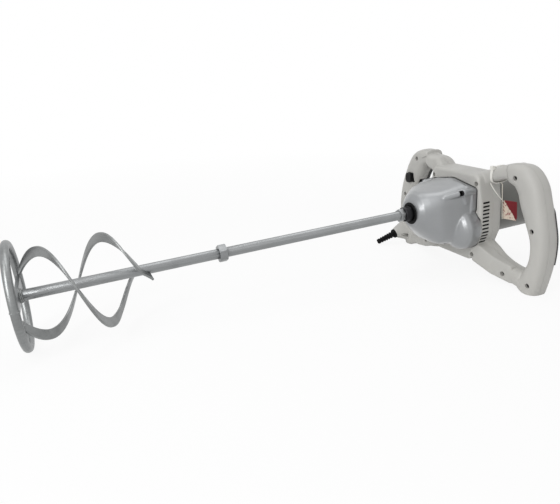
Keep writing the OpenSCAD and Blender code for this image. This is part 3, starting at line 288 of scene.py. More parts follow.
@dataclass(frozen=True)
class Finish:
    """Base of all finishes: a name and a seen colour."""

    name: str
    colour: Colour

    def material(self) -> bpy.types.Material:
        """Builds the material, or returns the one already built."""
        own_name = self.name + "_finish"
        ready = bpy.data.materials.get(own_name)
        if ready is not None:
            return ready
        shade = Shade(own_name)
        self.dress(shade)
        return shade.material

    def tone(self, factor: float, cast: Colour = (1.0, 1.0, 1.0)) -> Colour:
        """The finish's linear colour, lighter or darker, with a slight cast."""
        lin = seen(*self.colour)
        return tuple(min(1.0, c * factor * k) for c, k in zip(lin, cast))

    def dress(self, shade: Shade) -> None:
        """Lays the finish's patterns on a material. Every finish has its own."""
        raise NotImplementedError


@dataclass(frozen=True)
class Paint(Finish):
    """Sprayed paint: fine peel, slow drift of tone, a few dull scuffs."""

    rough: float = 0.42
    peel: float = 0.00004
    grain: float = 900.0
    metal: float = 0.0
    coat: float = 0.0
    dust: float = 0.06

    def dress(self, shade: Shade) -> None:
        """Tone drifts with a slow noise, and peel and grain are two reliefs."""
        drift = shade.noise(9.0, 3.0)
        base = shade.ramp(drift, [(0.3, self.tone(0.93)), (0.7, self.tone(1.05, (1.0, 0.998, 0.99)))])
        specks = shade.spread(shade.noise(650.0, 2.0), 0.66, 0.74, 0.0, self.dust)
        shade.put("Base Color", shade.blend(base, self.tone(0.55), specks))
        shade.put("Metallic", self.metal)
        scuff = shade.spread(shade.noise(38.0, 5.0, 0.65), 0.35, 0.75, self.rough - 0.06, self.rough + 0.12)
        shade.put("Roughness", scuff)
        shade.put("Coat Weight", self.coat)
        shade.put("Coat Roughness", 0.16)
        peel = shade.bump(shade.noise(240.0, 2.0), 0.35, self.peel)
        shade.bump(shade.noise(self.grain, 2.0), 0.3, self.peel * 0.6, peel)


@dataclass(frozen=True)
class Steel(Finish):
    """Bright plated or ground steel, with lines along one axis and faint clouds."""

    rough: float = 0.3
    lines: Sequence[float] = (6.0, 900.0, 900.0)
    relief: float = 0.000004
    tarnish: float = 0.25

    def dress(self, shade: Shade) -> None:
        """Noise stretched along the lines gives streaks in colour, gloss and relief."""
        streak = shade.noise(1.0, 3.0, 0.6, shade.place(self.lines, (0.0, -BENCH.tilt, 0.0)))
        cloud = shade.noise(26.0, 4.0, 0.6)
        base = shade.ramp(streak, [(0.3, self.tone(0.92)), (0.7, self.tone(1.08))])
        dull = shade.spread(cloud, 0.5, 0.72, 0.0, self.tarnish)
        shade.put("Base Color", shade.blend(base, self.tone(0.6, (1.0, 0.985, 0.965)), dull))
        shade.put("Metallic", 1.0)
        gloss = shade.spread(streak, 0.25, 0.8, self.rough - 0.03, self.rough + 0.06)
        shade.put("Roughness", shade.sum(gloss, shade.spread(cloud, 0.45, 0.75, 0.0, 0.15)))
        fine = shade.bump(streak, 0.5, self.relief)
        shade.bump(shade.noise(420.0, 3.0), 0.25, self.relief * 2.0, fine)


@dataclass(frozen=True)
class Moulded(Finish):
    """Moulded plastic or rubber: spark-eroded grain, dull and shiny patches."""

    rough: float = 0.5
    grain: float = 1500.0
    relief: float = 0.00003
    lint: float = 0.03
    shine: float = 0.5

    def dress(self, shade: Shade) -> None:
        """Cells make the grain, and slow noise rubs parts of it smooth."""
        shade.put("Specular IOR Level", self.shine)
        rub = shade.noise(30.0, 4.0, 0.6)
        base = shade.ramp(rub, [(0.3, self.tone(0.9)), (0.75, self.tone(1.15))])
        lint = shade.spread(shade.noise(820.0, 2.0), 0.68, 0.76, 0.0, self.lint)
        shade.put("Base Color", shade.blend(base, (0.35, 0.34, 0.32), lint))
        shade.put("Roughness", shade.spread(rub, 0.3, 0.7, self.rough + 0.08, self.rough - 0.08))
        grain = shade.bump(shade.cells(self.grain), 0.4, self.relief)
        shade.bump(shade.noise(140.0, 3.0), 0.2, self.relief, grain)


@dataclass(frozen=True)
class Cast(Finish):
    """Bare cast alloy: sandy skin with lighter machined spots."""

    rough: float = 0.45

    def dress(self, shade: Shade) -> None:
        """Two noises give the sand's relief and its colour."""
        sand = shade.noise(700.0, 4.0, 0.6)
        shade.put("Base Color", shade.ramp(sand, [(0.3, self.tone(0.8)), (0.7, self.tone(1.1))]))
        shade.put("Metallic", 1.0)
        shade.put("Roughness", shade.spread(sand, 0.3, 0.7, self.rough + 0.1, self.rough - 0.1))
        shade.bump(sand, 0.5, 0.00005)


@dataclass(frozen=True)
class Wound(Finish):
    """Wound wire or stacked sheet: fine lines across one axis."""

    pitch: float = 0.0006
    turn: Sequence[float] = (0.0, 0.0, 0.0)
    metal: float = 0.6

    def dress(self, shade: Shade) -> None:
        """A sine band every pitch metres gives the lines, noise breaks them."""
        wave = shade.tree.nodes.new("ShaderNodeTexWave")
        wave.inputs["Scale"].default_value = 1.0 / self.pitch / 20.0
        wave.inputs["Distortion"].default_value = 0.6
        shade.tree.links.new(shade.place((1.0, 1.0, 1.0), self.turn), wave.inputs["Vector"])
        lines = wave.outputs["Fac"]
        shade.put("Base Color", shade.ramp(lines, [(0.1, self.tone(0.6)), (0.8, self.tone(1.15))]))
        shade.put("Metallic", self.metal)
        shade.put("Roughness", shade.spread(shade.noise(60.0), 0.3, 0.7, 0.3, 0.5))
        shade.bump(lines, 0.6, 0.0001)


@dataclass(frozen=True)
class Card(Finish):
    """Blank card of two tones, split by a slanting line, with paper fibre."""

    second: Colour = (226, 214, 204)
    split: Tuple[float, float, float] = (0.0, 1.0, 1.0)
    level: float = 0.0

    def dress(self, shade: Shade) -> None:
        """The tone changes where the point's share along the split passes the level."""
        side = shade.sum(shade.sum(shade.axis("Y"), self.split[1], "MULTIPLY"),
                         shade.sum(shade.axis("Z"), self.split[2], "MULTIPLY"))
        wave = shade.spread(shade.noise(160.0, 2.0), 0.3, 0.7, -0.0016, 0.0016)
        share = shade.spread(shade.sum(side, wave), self.level - 0.0004, self.level + 0.0004, 0.0, 1.0)
        pulp = shade.noise(900.0, 4.0, 0.6)
        blots = shade.spread(shade.noise(330.0, 2.0), 0.56, 0.62, 0.0, 0.75)
        pale = shade.blend(seen(*self.second), self.tone(1.3), blots)
        front = shade.blend(pale, self.tone(1.0), share)
        shade.put("Base Color", shade.blend(front, self.tone(0.7), shade.spread(pulp, 0.55, 0.8, 0.0, 0.2)))
        shade.put("Roughness", shade.spread(pulp, 0.3, 0.7, 0.35, 0.55))
        shade.bump(pulp, 0.3, 0.00003)


class Palette(Enum):
    """Every finish on the machine."""

    FRAME = Paint("frame_paint", (186, 185, 181), rough=0.46, peel=0.00005)
    SILVER = Paint("silver_paint", (147, 149, 151), rough=0.42, metal=0.55, coat=0.6,
                   peel=0.00002, dust=0.03)
    MOTOR = Paint("motor_paint", (97, 97, 93), rough=0.4, metal=0.25, peel=0.00005)
    SOFT = Moulded("soft_grip", (72, 72, 71), rough=0.72, grain=1100.0, relief=0.00006, shine=0.2)
    BLACK = Moulded("black_plastic", (17, 17, 18), rough=0.45, shine=0.16)
    RUBBER = Moulded("black_rubber", (15, 15, 16), rough=0.6, grain=900.0, shine=0.12)
    NYLON = Moulded("grey_nylon", (110, 110, 112), rough=0.5)
    PLATED = Steel("plated_steel", (144, 146, 147), rough=0.33)
    RIBBON = Steel("ribbon_steel", (138, 140, 140), rough=0.36, lines=(60.0, 60.0, 400.0), tarnish=0.4)
    DARK = Steel("dark_screw", (48, 48, 50), rough=0.42)
    GROUND = Steel("ground_steel", (150, 151, 153), rough=0.26)
    ALLOY = Cast("cast_alloy", (190, 192, 194))
    SHEETS = Wound("lamination", (112, 112, 115), pitch=0.0005)
    ENAMEL = Wound("enamelled_copper", (168, 96, 52), pitch=0.0008, turn=(0.0, 0.0, math.pi / 2))
    COPPER = Wound("bare_copper", (206, 144, 106), pitch=0.0016, turn=(math.pi / 2, 0.0, 0.0), metal=1.0)
    BRASS = Cast("holder_brass", (206, 178, 112), rough=0.35)
    CARBON = Moulded("carbon", (46, 46, 48), rough=0.65, grain=2200.0)
    CARD = Card("tag_card", (112, 18, 28), second=(214, 200, 184), split=(0.0, -1.0, 1.0),
                level=0.2018)
    TIE = Moulded("tie_nylon", (226, 225, 219), rough=0.38)
    STRING = Moulded("tag_string", (214, 208, 196), rough=0.7, grain=2600.0)


def tidy(mesh: bpy.types.Mesh, angle: float, recalculate: bool = True) -> None:
    """Merges doubled points, points the faces outwards and smooths all but sharp edges.

    Args:
        mesh: Mesh to tidy.
        angle: Edges that turn by more degrees than this stay sharp.
        recalculate: Whether the normals are worked out again.
    """
    work = bmesh.new()
    work.from_mesh(mesh)
    bmesh.ops.remove_doubles(work, verts=work.verts, dist=1e-6)
    bmesh.ops.dissolve_degenerate(work, edges=work.edges, dist=1e-7)
    if recalculate:
        bmesh.ops.recalc_face_normals(work, faces=work.faces)
    work.to_mesh(mesh)
    work.free()
    mesh.polygons.foreach_set("use_smooth", np.ones(len(mesh.polygons), dtype=bool))
    mesh.set_sharp_from_angle(angle=math.radians(angle))
    mesh.update()


def bring(name: str, points: np.ndarray, faces: List[List[int]], finish: Palette, body: str,
          angle: float = 35.0) -> bpy.types.Object:
    """Makes an object from points and faces, dresses it and lets it ride on a body.

    Args:
        name: Name of the piece.
        points: Points in row metres, one a line.
        faces: Corner numbers of each face.
        finish: Finish of the piece.
        body: Body that carries it.
        angle: Edges sharper than this many degrees stay sharp.

    Returns:
        The new object.
    """
    mesh = bpy.data.meshes.new(name)
    mesh.from_pydata(np.asarray(points).reshape(-1, 3).tolist(), [], faces)
    tidy(mesh, angle)
    piece = linked(name, mesh)
    mesh.materials.append(finish.value.material())
    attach(piece, body)
    return piece


def net(rows: int, columns: int, wrap_rows: bool, wrap_columns: bool, caps: bool) -> List[List[int]]:
    """Faces of a grid of points, counted along its rows.

    Args:
        rows: Number of rows.
        columns: Number of points in a row.
        wrap_rows: Whether the last row joins the first.
        wrap_columns: Whether each row is a loop.
        caps: Whether the first and last rows are filled in.

    Returns:
        List of faces.
    """
    r = np.arange(rows if wrap_rows else rows - 1)[:, None]
    c = np.arange(columns if wrap_columns else columns - 1)[None, :]
    r2, c2 = (r + 1) % rows, (c + 1) % columns
    quads = np.stack([r * columns + c, r * columns + c2, r2 * columns + c2, r2 * columns + c], axis=-1)
    faces = quads.reshape(-1, 4).tolist()
    if caps:
        faces.append(np.arange(columns)[::-1].tolist())
        faces.append((np.arange(columns) + (rows - 1) * columns).tolist())
    return faces


def frames(line: np.ndarray, up: np.ndarray, closed: bool = False) -> Tuple[np.ndarray, np.ndarray]:
    """Unit side and up vectors along a line.

    The tangent is the central difference, the side is tangent x up, and up is side x tangent.

    Args:
        line: Points along the line.
        up: Rough up vector for each point.
        closed: Whether the line is a loop.

    Returns:
        Sides and ups.
    """
    if closed:
        t = np.roll(line, -1, axis=0) - np.roll(line, 1, axis=0)
    else:
        t = np.gradient(line, axis=0)
    t = normed(t)
    side = normed(np.cross(t, up))
    return side, np.cross(side, t)


def swept(line: np.ndarray, outline: np.ndarray, side: np.ndarray, up: np.ndarray,
          closed: bool = False) -> Surface:
    """Surface of an outline carried along a line.

    Point (a, b) of the outline at line point P is P + a side + b up.

    Args:
        line: Points along the line.
        outline: Points (a, b), the same for each place or one set for each.
        side: Side vector at each place.
        up: Up vector at each place.
        closed: Whether the line is a loop.

    Returns:
        Points and faces.
    """
    o = np.broadcast_to(outline, (len(line),) + outline.shape[-2:])
    points = line[:, None, :] + o[..., 0:1] * side[:, None, :] + o[..., 1:2] * up[:, None, :]
    return points.reshape(-1, 3), net(len(line), o.shape[1], closed, True, not closed)


def rounded(width: float, height: float, radius: float, corner: int = 5) -> np.ndarray:
    """Outline of a rectangle with rounded corners, centred, as points (a, b).

    Each corner is a quarter circle of the radius about its own centre.

    Args:
        width: Size along a.
        height: Size along b.
        radius: Corner radius.
        corner: Points on each corner.

    Returns:
        Array of points.
    """
    q = np.linspace(0.0, np.pi / 2.0, corner)
    cx, cy = width / 2.0 - radius, height / 2.0 - radius
    parts = []
    for k, (sx, sy) in enumerate(((1, 1), (-1, 1), (-1, -1), (1, -1))):
        a = q + k * np.pi / 2.0
        parts.append(np.stack([sx * cx + radius * np.cos(a), sy * cy + radius * np.sin(a)], 1))
    return np.concatenate(parts)


def join(parts: Sequence[Surface]) -> Surface:
    """Joins several surfaces into one list of points and faces."""
    points, faces, count = [], [], 0
    for p, f in parts:
        p = np.asarray(p).reshape(-1, 3)
        points.append(p)
        faces += [[i + count for i in face] for face in f]
        count += len(p)
    return np.concatenate(points), faces


def machined(node: str, finish: Palette, body: str, bevel: float = 0.0,
             angle: float = 30.0) -> bpy.types.Object:
    """A merged copy of a CAD node with smooth curves and, if asked, softened edges.

    Args:
        node: Node that the copy stands for.
        finish: Finish of the copy.
        body: Body that carries it.
        bevel: Width of the softened edges in metres, or 0.
        angle: Edges sharper than this many degrees stay sharp.

    Returns:
        The new object.
    """
    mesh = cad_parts[node].data.copy()
    mesh.name = node + "_finished"
    mesh.materials.clear()
    tidy(mesh, angle, recalculate=False)
    piece = linked(node + "_finished", mesh)
    mesh.materials.append(finish.value.material())
    if bevel > 0.0:
        soften = piece.modifiers.new("soft_edges", "BEVEL")
        soften.width = bevel
        soften.segments = 2
        soften.limit_method = "ANGLE"
        soften.angle_limit = math.radians(angle)
        soften.harden_normals = True
    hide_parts(node)
    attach(piece, body)
    return piece


@dataclass(frozen=True)
class Ribbon:
    """Course of one ribbon from the ring to the rod, in degrees and millimetres.

    start is its angle at the ring, twist its degrees a millimetre, extra a last turn at the rod and dip
    how far it first bends inwards. The bar begins first from the ring's plane and runs tail past its weld.
    lean is its roll about its own line: (distance, degrees), with straight steps between.
    """

    start: float
    twist: float
    extra: float
    dip: float
    first: float
    tail: float
    lean: Sequence[Tuple[float, float]]


@dataclass
class Paddle:
    """End ring, cross bar, two ribbons, rods and their welds."""

    ring_od: float = 140.0
    ring_bar: float = 10.6
    reach: float = 570.0
    ribbon_w: float = 13.0
    ribbon_t: float = 3.0
    ribbon_r: float = 68.0
    ribbon_len: float = 152.0
    tuck_at: float = 80.0
    rod_r: float = 7.0
    spoke_w: float = 16.0
    spoke_t: float = 5.0
    weld_sink: float = 0.6
    body: str = "spindle"
    ribbons: Dict[str, Ribbon] = field(default_factory=lambda: {
        "ribbon_a": Ribbon(-15.0, 2.08, 30.0, 1.0, -5.0, 8.0, (
            (104.0, 0.0), (118.0, -14.0), (132.0, -30.0), (143.0, -27.0), (148.0, -15.0), (151.0, -6.0),
            (154.0, 1.0), (158.0, 14.0))),
        "ribbon_b": Ribbon(172.0, 2.3, 0.0, 6.0, 4.5, 0.0, (
            (106.0, 0.0), (115.0, -7.0), (124.0, 0.0), (134.0, 3.0), (150.0, 20.0))),
    })

    def ribbon_line(self, s: np.ndarray, bar: Ribbon) -> np.ndarray:
        """Middle line of a ribbon, s millimetres from the ring.

        The angle is start - twist s - extra u^5 and the radius grows by a half cosine, dips by a half sine
        and falls by u^2 to the rod, where u is the share of the way from tuck_at to the end.

        Args:
            s: Distances from the ring's plane.
            bar: The ribbon's course.

        Returns:
            Points in machine millimetres.
        """
        ring_in = self.ring_od / 2.0 - self.ring_bar
        span = self.ribbon_len - self.tuck_at
        u = np.maximum(0.0, np.minimum(s, self.ribbon_len) - self.tuck_at) / span
        low = self.rod_r + self.ribbon_w / 2.0 - self.weld_sink
        half_turn = np.minimum(np.pi, np.pi * s / self.tuck_at)
        grown = (self.ribbon_r - ring_in) * (1.0 - np.cos(half_turn)) / 2.0
        dip = bar.dip * np.sin(np.clip(np.pi * s / 60.0, 0.0, np.pi))
        wide = ring_in + grown - dip - self.ribbon_w / 2.0
        r = wide + (low - wide) * u ** 2
        late = (np.maximum(0.0, s - self.tuck_at) / span) ** 5
        a = np.radians(bar.start - bar.twist * s - bar.extra * late)
        return np.stack([s - self.reach, -r * np.cos(a), r * np.sin(a)], axis=1)

    def ribbon(self, name: str, bar: Ribbon) -> None:
        """A flat bar with rounded edges along the ribbon's line.

        Args:
            name: Node that the bar stands for.
            bar: The ribbon's course.
        """
        s = np.linspace(bar.first, self.ribbon_len + bar.tail, 260)
        line = self.ribbon_line(s, bar)
        t = normed(self.ribbon_line(s + 0.5, bar) - self.ribbon_line(s - 0.5, bar))
        out = normed(line * np.array([0.0, 1.0, 1.0]))
        w0 = normed(out - np.sum(out * t, axis=1, keepdims=True) * t)
        b0 = np.cross(t, w0)
        table = np.asarray(bar.lean, dtype=float)
        roll = np.radians(np.interp(s, table[:, 0], table[:, 1]))[:, None]
        w = w0 * np.cos(roll) - b0 * np.sin(roll)
        b = b0 * np.cos(roll) + w0 * np.sin(roll)
        points, faces = swept(line, rounded(self.ribbon_w, self.ribbon_t, 0.7), w, b)
        piece = bring(name + "_bar", BENCH.row(points), faces, Palette.RIBBON, self.body, 40.0)
        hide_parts(name)

    def bead(self, line: np.ndarray, width: float, seed: int) -> Surface:
        """A weld bead: a bumpy tube along a line.

        The radius is width / 2 times 0.88 + 0.12 |sin| of the way, with ripples every 1.4 mm.

        Args:
            line: Points along the weld.
            width: Width of the bead.
            seed: Seed of its bumps.

        Returns:
            Points and faces.
        """
        rng = np.random.default_rng(seed)
        way = np.concatenate([[0.0], np.cumsum(np.linalg.norm(np.diff(line, axis=0), axis=1))])
        share = way / way[-1]
        ends = np.clip(np.sin(np.pi * share) * 3.0, 0.12, 1.0)
        ripple = 0.88 + 0.12 * np.abs(np.sin(np.pi * way / 1.4))
        r = width / 2.0 * ends * ripple * (1.0 + 0.06 * rng.standard_normal(len(way)))
        side, up = frames(line, np.tile(np.array([0.31, 0.52, 0.8]), (len(line), 1)))
        a = angles(14)
        outline = np.stack([np.cos(a), np.sin(a)], axis=1)[None, :, :] * r[:, None, None]
        return swept(line, outline, side, up)

    def welds(self) -> None:
        """Beads where the cross bar meets the ring and rod, and the ribbons meet the ring and rod."""
        parts = []
        inner = self.ring_od / 2.0 - self.ring_bar + 0.4
        x = -self.reach
        z = np.linspace(-self.spoke_w / 2.0 + 1.0, self.spoke_w / 2.0 - 1.0, 26)
        for seed, side in enumerate((-1.0, 1.0)):
            for face in (-1.0, 1.0):
                y = side * np.sqrt(np.maximum(inner ** 2 - z ** 2, 1.0))
                line = np.stack([np.full_like(z, x + face * (self.spoke_t / 2.0 + 0.1)), y, z], axis=1)
                parts.append(self.bead(line, 3.0, 10 + seed * 2 + int(face > 0)))
        a = np.linspace(0.0, 2.0 * np.pi, 60)
        for back, radius, width in ((0.4, 0.6, 4.2), (2.4, 0.3, 3.2)):
            wide = self.rod_r + radius
            line = np.stack([np.full_like(a, x + self.spoke_t / 2.0 + back),
                             wide * np.cos(a), wide * np.sin(a)], axis=1)
            parts.append(self.bead(line, width, 31))
        mid = self.ring_od / 2.0 - self.ring_bar / 2.0
        at = np.radians(176.0)
        q = np.linspace(0.0, 2.0 * np.pi, 50)
        over = self.ring_bar / 2.0 - 0.5
        around = mid + over * np.cos(q)
        line = np.stack([x + over * np.sin(q), around * np.cos(at), around * np.sin(at)], 1)
        parts.append(self.bead(line, 2.2, 35))
        for seed, bar in enumerate(self.ribbons.values()):
            foot = self.ribbon_line(np.array([3.0, 6.0]), bar)[0]
            out = foot * np.array([0.0, 1.0, 1.0])
            out /= np.linalg.norm(out)
            around = np.cross([1.0, 0.0, 0.0], out)
            k = np.linspace(-6.0, 6.0, 24)[:, None]
            line = foot + np.array([1.5, 0.0, 0.0]) + out * 3.2 * np.cos(k / 8.0) + around * k * 0.55
            parts.append(self.bead(line, 3.2, 40 + seed))
            s = np.linspace(self.ribbon_len - 13.0, self.ribbon_len + 1.0, 30)
            mid = self.ribbon_line(s, bar)
            inwards = normed(mid * np.array([0.0, -1.0, -1.0]))
            radius = np.hypot(mid[:, 1], mid[:, 2])[:, None]
            parts.append(self.bead(mid + inwards * (radius - self.rod_r - 0.3), 3.0, 50 + seed))
        points, faces = join(parts)
        bring("paddle_welds", BENCH.row(points), faces, Palette.RIBBON, self.body, 60.0)

    def ring(self) -> None:
        """The ring: a torus of bar radius about the ring's middle radius; its low butt weld is laid in
        welds().
        """
        mid = self.ring_od / 2.0 - self.ring_bar / 2.0
        a = angles(300)
        line = np.stack([np.full_like(a, -self.reach), mid * np.cos(a), mid * np.sin(a)], axis=1)
        out = np.stack([np.zeros_like(a), np.cos(a), np.sin(a)], axis=1)
        along = np.tile(np.array([1.0, 0.0, 0.0]), (len(a), 1))
        q = angles(48)
        outline = self.ring_bar / 2.0 * np.stack([np.cos(q), np.sin(q)], axis=1)
        points, faces = swept(line, outline, out, along, closed=True)
        piece = bring("ring_bar", BENCH.row(points), faces, Palette.RIBBON, self.body, 60.0)
        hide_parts("end_ring")

    def rods(self) -> None:
        """Rods and coupling: turned bars with chamfered ends, and hexagons with turned faces."""
        for node in ("upper_rod", "lower_rod", "coupling_nut", "ring_cross_bar"):
            machined(node, Palette.PLATED, self.body, 0.00025)

    def build(self) -> None:
        """Builds the whole paddle."""
        self.ring()
        for name, bar in self.ribbons.items():
            self.ribbon(name, bar)
        self.rods()
        self.welds()


def block(low: Sequence[float], high: Sequence[float]) -> Surface:
    """Box between two corners, as points and faces."""
    grid = np.array(np.meshgrid(*zip(low, high), indexing="ij")).reshape(3, -1).T
    return grid, [[0, 1, 3, 2], [4, 6, 7, 5], [0, 4, 5, 1], [2, 3, 7, 6], [0, 2, 6, 4], [1, 5, 7, 3]]


def prism(outline: np.ndarray, x0: float, x1: float) -> Surface:
    """Outline in Y and Z carried from x0 to x1."""
    o = np.asarray(outline, dtype=float)
    ends = [np.column_stack([np.full(len(o), x), o]) for x in (x0, x1)]
    return np.concatenate(ends), net(2, len(o), False, True, True)


def staged(rows: Sequence[Tuple[float, float, float, float, float, float]], count: int = 128) -> Surface:
    """Skin over rounded sections square to X.

    A row is (x, near, far, top, bottom, p). Its point at angle a has y = w sgn(cos a) |cos a|^(2/p),
    where w is the near or far half width, and z = h sgn(sin a) |sin a|^(2/p), where h is the top or
    bottom half height.
    """
    r = np.asarray(rows, dtype=float)
    a = angles(count)[None, :] + np.pi / count
    c, h = squarish(a, 2.0 / r[:, 5:6])
    y = np.where(c < 0.0, c * r[:, 1:2], c * r[:, 2:3])
    z = np.where(h > 0.0, h * r[:, 3:4], h * r[:, 4:5])
    x = np.broadcast_to(r[:, 0:1], y.shape)
    return np.stack([x, y, z], axis=-1).reshape(-1, 3), net(len(r), count, False, True, True)


def upright(outline: np.ndarray, z0: float, z1: float) -> Surface:
    """Outline in X and Y carried from z0 to z1."""
    o = np.asarray(outline, dtype=float)
    ends = [np.column_stack([o, np.full(len(o), z)]) for z in (z0, z1)]
    return np.concatenate(ends), net(2, len(o), False, True, True)


def pipe(start: Sequence[float], way: Sequence[float], radius: float, length: float,
         steps: int = 32) -> Surface:
    """Round bar from a point along a direction: P + r cos a u + r sin a v, at both ends."""
    w = np.asarray(way, dtype=float) / np.linalg.norm(way)
    u = np.cross(w, [0.0, 0.3, 1.0])
    u /= np.linalg.norm(u)
    v = np.cross(w, u)
    a = angles(steps)[:, None]
    ring = np.asarray(start, dtype=float) + radius * (np.cos(a) * u + np.sin(a) * v)
    return np.concatenate([ring, ring + w * length]), net(2, steps, False, True, True)


def hull(points: np.ndarray) -> Surface:
    """Smallest convex surface round a cloud of points."""
    work = bmesh.new()
    for point in np.asarray(points).tolist():
        work.verts.new(point)
    done = bmesh.ops.convex_hull(work, input=work.verts)
    loose = [v for v in work.verts if not v.link_faces]
    bmesh.ops.delete(work, geom=loose, context="VERTS")
    work.verts.index_update()
    result = (np.array([v.co[:] for v in work.verts]), [[v.index for v in f.verts] for f in work.faces])
    work.free()
    return result


def ball(centre: Sequence[float], radius: float, steps: int = 20) -> np.ndarray:
    """Points on a ball: centre + r (sin b cos a, sin b sin a, cos b)."""
    a = angles(steps)[:, None]
    b = np.linspace(0.0, np.pi, steps // 2 + 1)[None, :]
    unit = np.stack([np.sin(b) * np.cos(a), np.sin(b) * np.sin(a), np.cos(b) + 0.0 * a], axis=-1)
    return np.asarray(centre, dtype=float) + radius * unit.reshape(-1, 3)


def wrapped(posts: Sequence[Tuple[float, float, float]], arc: int = 10) -> np.ndarray:
    """Outline round circles at the posts, taken in turn against the clock.

    Args:
        posts: Centres and radii (y, z, r).
        arc: Points on each circle's arc.

    Returns:
        Points (y, z) of their convex outline.
    """
    a = angles(12 * arc)
    cloud = np.concatenate([np.stack([y + r * np.cos(a), z + r * np.sin(a)], 1) for y, z, r in posts])
    flat = hull(np.concatenate([np.column_stack([np.full(len(cloud), x), cloud]) for x in (0.0, 1.0)]))[0]
    ring = flat[np.abs(flat[:, 0]) < 0.01][:, 1:]
    middle = ring.mean(axis=0)
    return ring[np.argsort(np.arctan2(ring[:, 1] - middle[1], ring[:, 0] - middle[0]))]


class Solid:
    """A closed mesh in machine millimetres that can be melted together, cut and kept."""

    def __init__(self, parts: Sequence[Surface], name: str = "solid") -> None:
        """Makes the mesh from closed surfaces.

        Args:
            parts: Closed surfaces that make up the solid.
            name: Name of the mesh.
        """
        points, faces = join(parts)
        mesh = bpy.data.meshes.new(name)
        mesh.from_pydata(points.tolist(), [], faces)
        work = bmesh.new()
        work.from_mesh(mesh)
        bmesh.ops.recalc_face_normals(work, faces=work.faces)
        work.to_mesh(mesh)
        work.free()
        self.thing = linked(name, mesh)

    def settle(self) -> None:
        """Applies the modifiers and drops them."""
        bpy.context.view_layer.update()
        view = bpy.context.evaluated_depsgraph_get()
        fresh = bpy.data.meshes.new_from_object(self.thing.evaluated_get(view))
        self.thing.modifiers.clear()
        old = self.thing.data
        self.thing.data = fresh
        bpy.data.meshes.remove(old)

    def melt(self, grain: float, passes: int) -> "Solid":
        """Melts the parts into one skin of small squares and rounds its edges.

        Args:
            grain: Size of the squares in millimetres.
            passes: How often the skin is smoothed.

        Returns:
            The solid itself.
        """
        skin = self.thing.modifiers.new("skin", "REMESH")
        skin.mode = "VOXEL"
        skin.voxel_size = grain
        soften = self.thing.modifiers.new("soften", "SMOOTH")
        soften.factor = 0.5
        soften.iterations = passes
        self.settle()
        return self

    def cut(self, other: "Solid", how: str = "DIFFERENCE") -> "Solid":
        """Cuts, adds or keeps what another solid covers.

        Args:
            other: The other solid, which is used up.
            how: DIFFERENCE, UNION or INTERSECT.

        Returns:
            The solid itself.
        """
        tool = self.thing.modifiers.new("cut", "BOOLEAN")
        tool.operation = how
        tool.solver = "MANIFOLD"
        tool.object = other.thing
        self.settle()
        other.drop()
        return self

    def copy(self) -> "Solid":
        """A second solid of the same form."""
        twin = object.__new__(Solid)
        twin.thing = self.thing.copy()
        twin.thing.data = self.thing.data.copy()
        bpy.context.scene.collection.objects.link(twin.thing)
        return twin

    def drop(self) -> None:
        """Removes the solid."""
        mesh = self.thing.data
        bpy.data.objects.remove(self.thing)
        bpy.data.meshes.remove(mesh)

    def finish(self, name: str, finish: Palette, body: str, angle: float,
               *nodes: str) -> bpy.types.Object:
        """Lays the solid on the bench as a finished piece.

        Args:
            name: Name of the piece.
            finish: Its finish.
            body: Body that carries it.
            angle: Edges sharper than this many degrees stay sharp.
            nodes: CAD nodes that it stands for.

        Returns:
            The piece.
        """
        mesh = self.thing.data
        flat = np.empty(len(mesh.vertices) * 3)
        mesh.vertices.foreach_get("co", flat)
        mesh.vertices.foreach_set("co", BENCH.row(flat.reshape(-1, 3)).ravel())
        mesh.update()
        mesh.materials.clear()
        tidy(mesh, angle, recalculate=False)
        self.thing.name = name
        mesh.name = name
        mesh.materials.append(finish.value.material())
        if nodes:
            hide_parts(*nodes)
        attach(self.thing, body)
        LOG.info("%s: %d faces", name, len(mesh.polygons))
        return self.thing


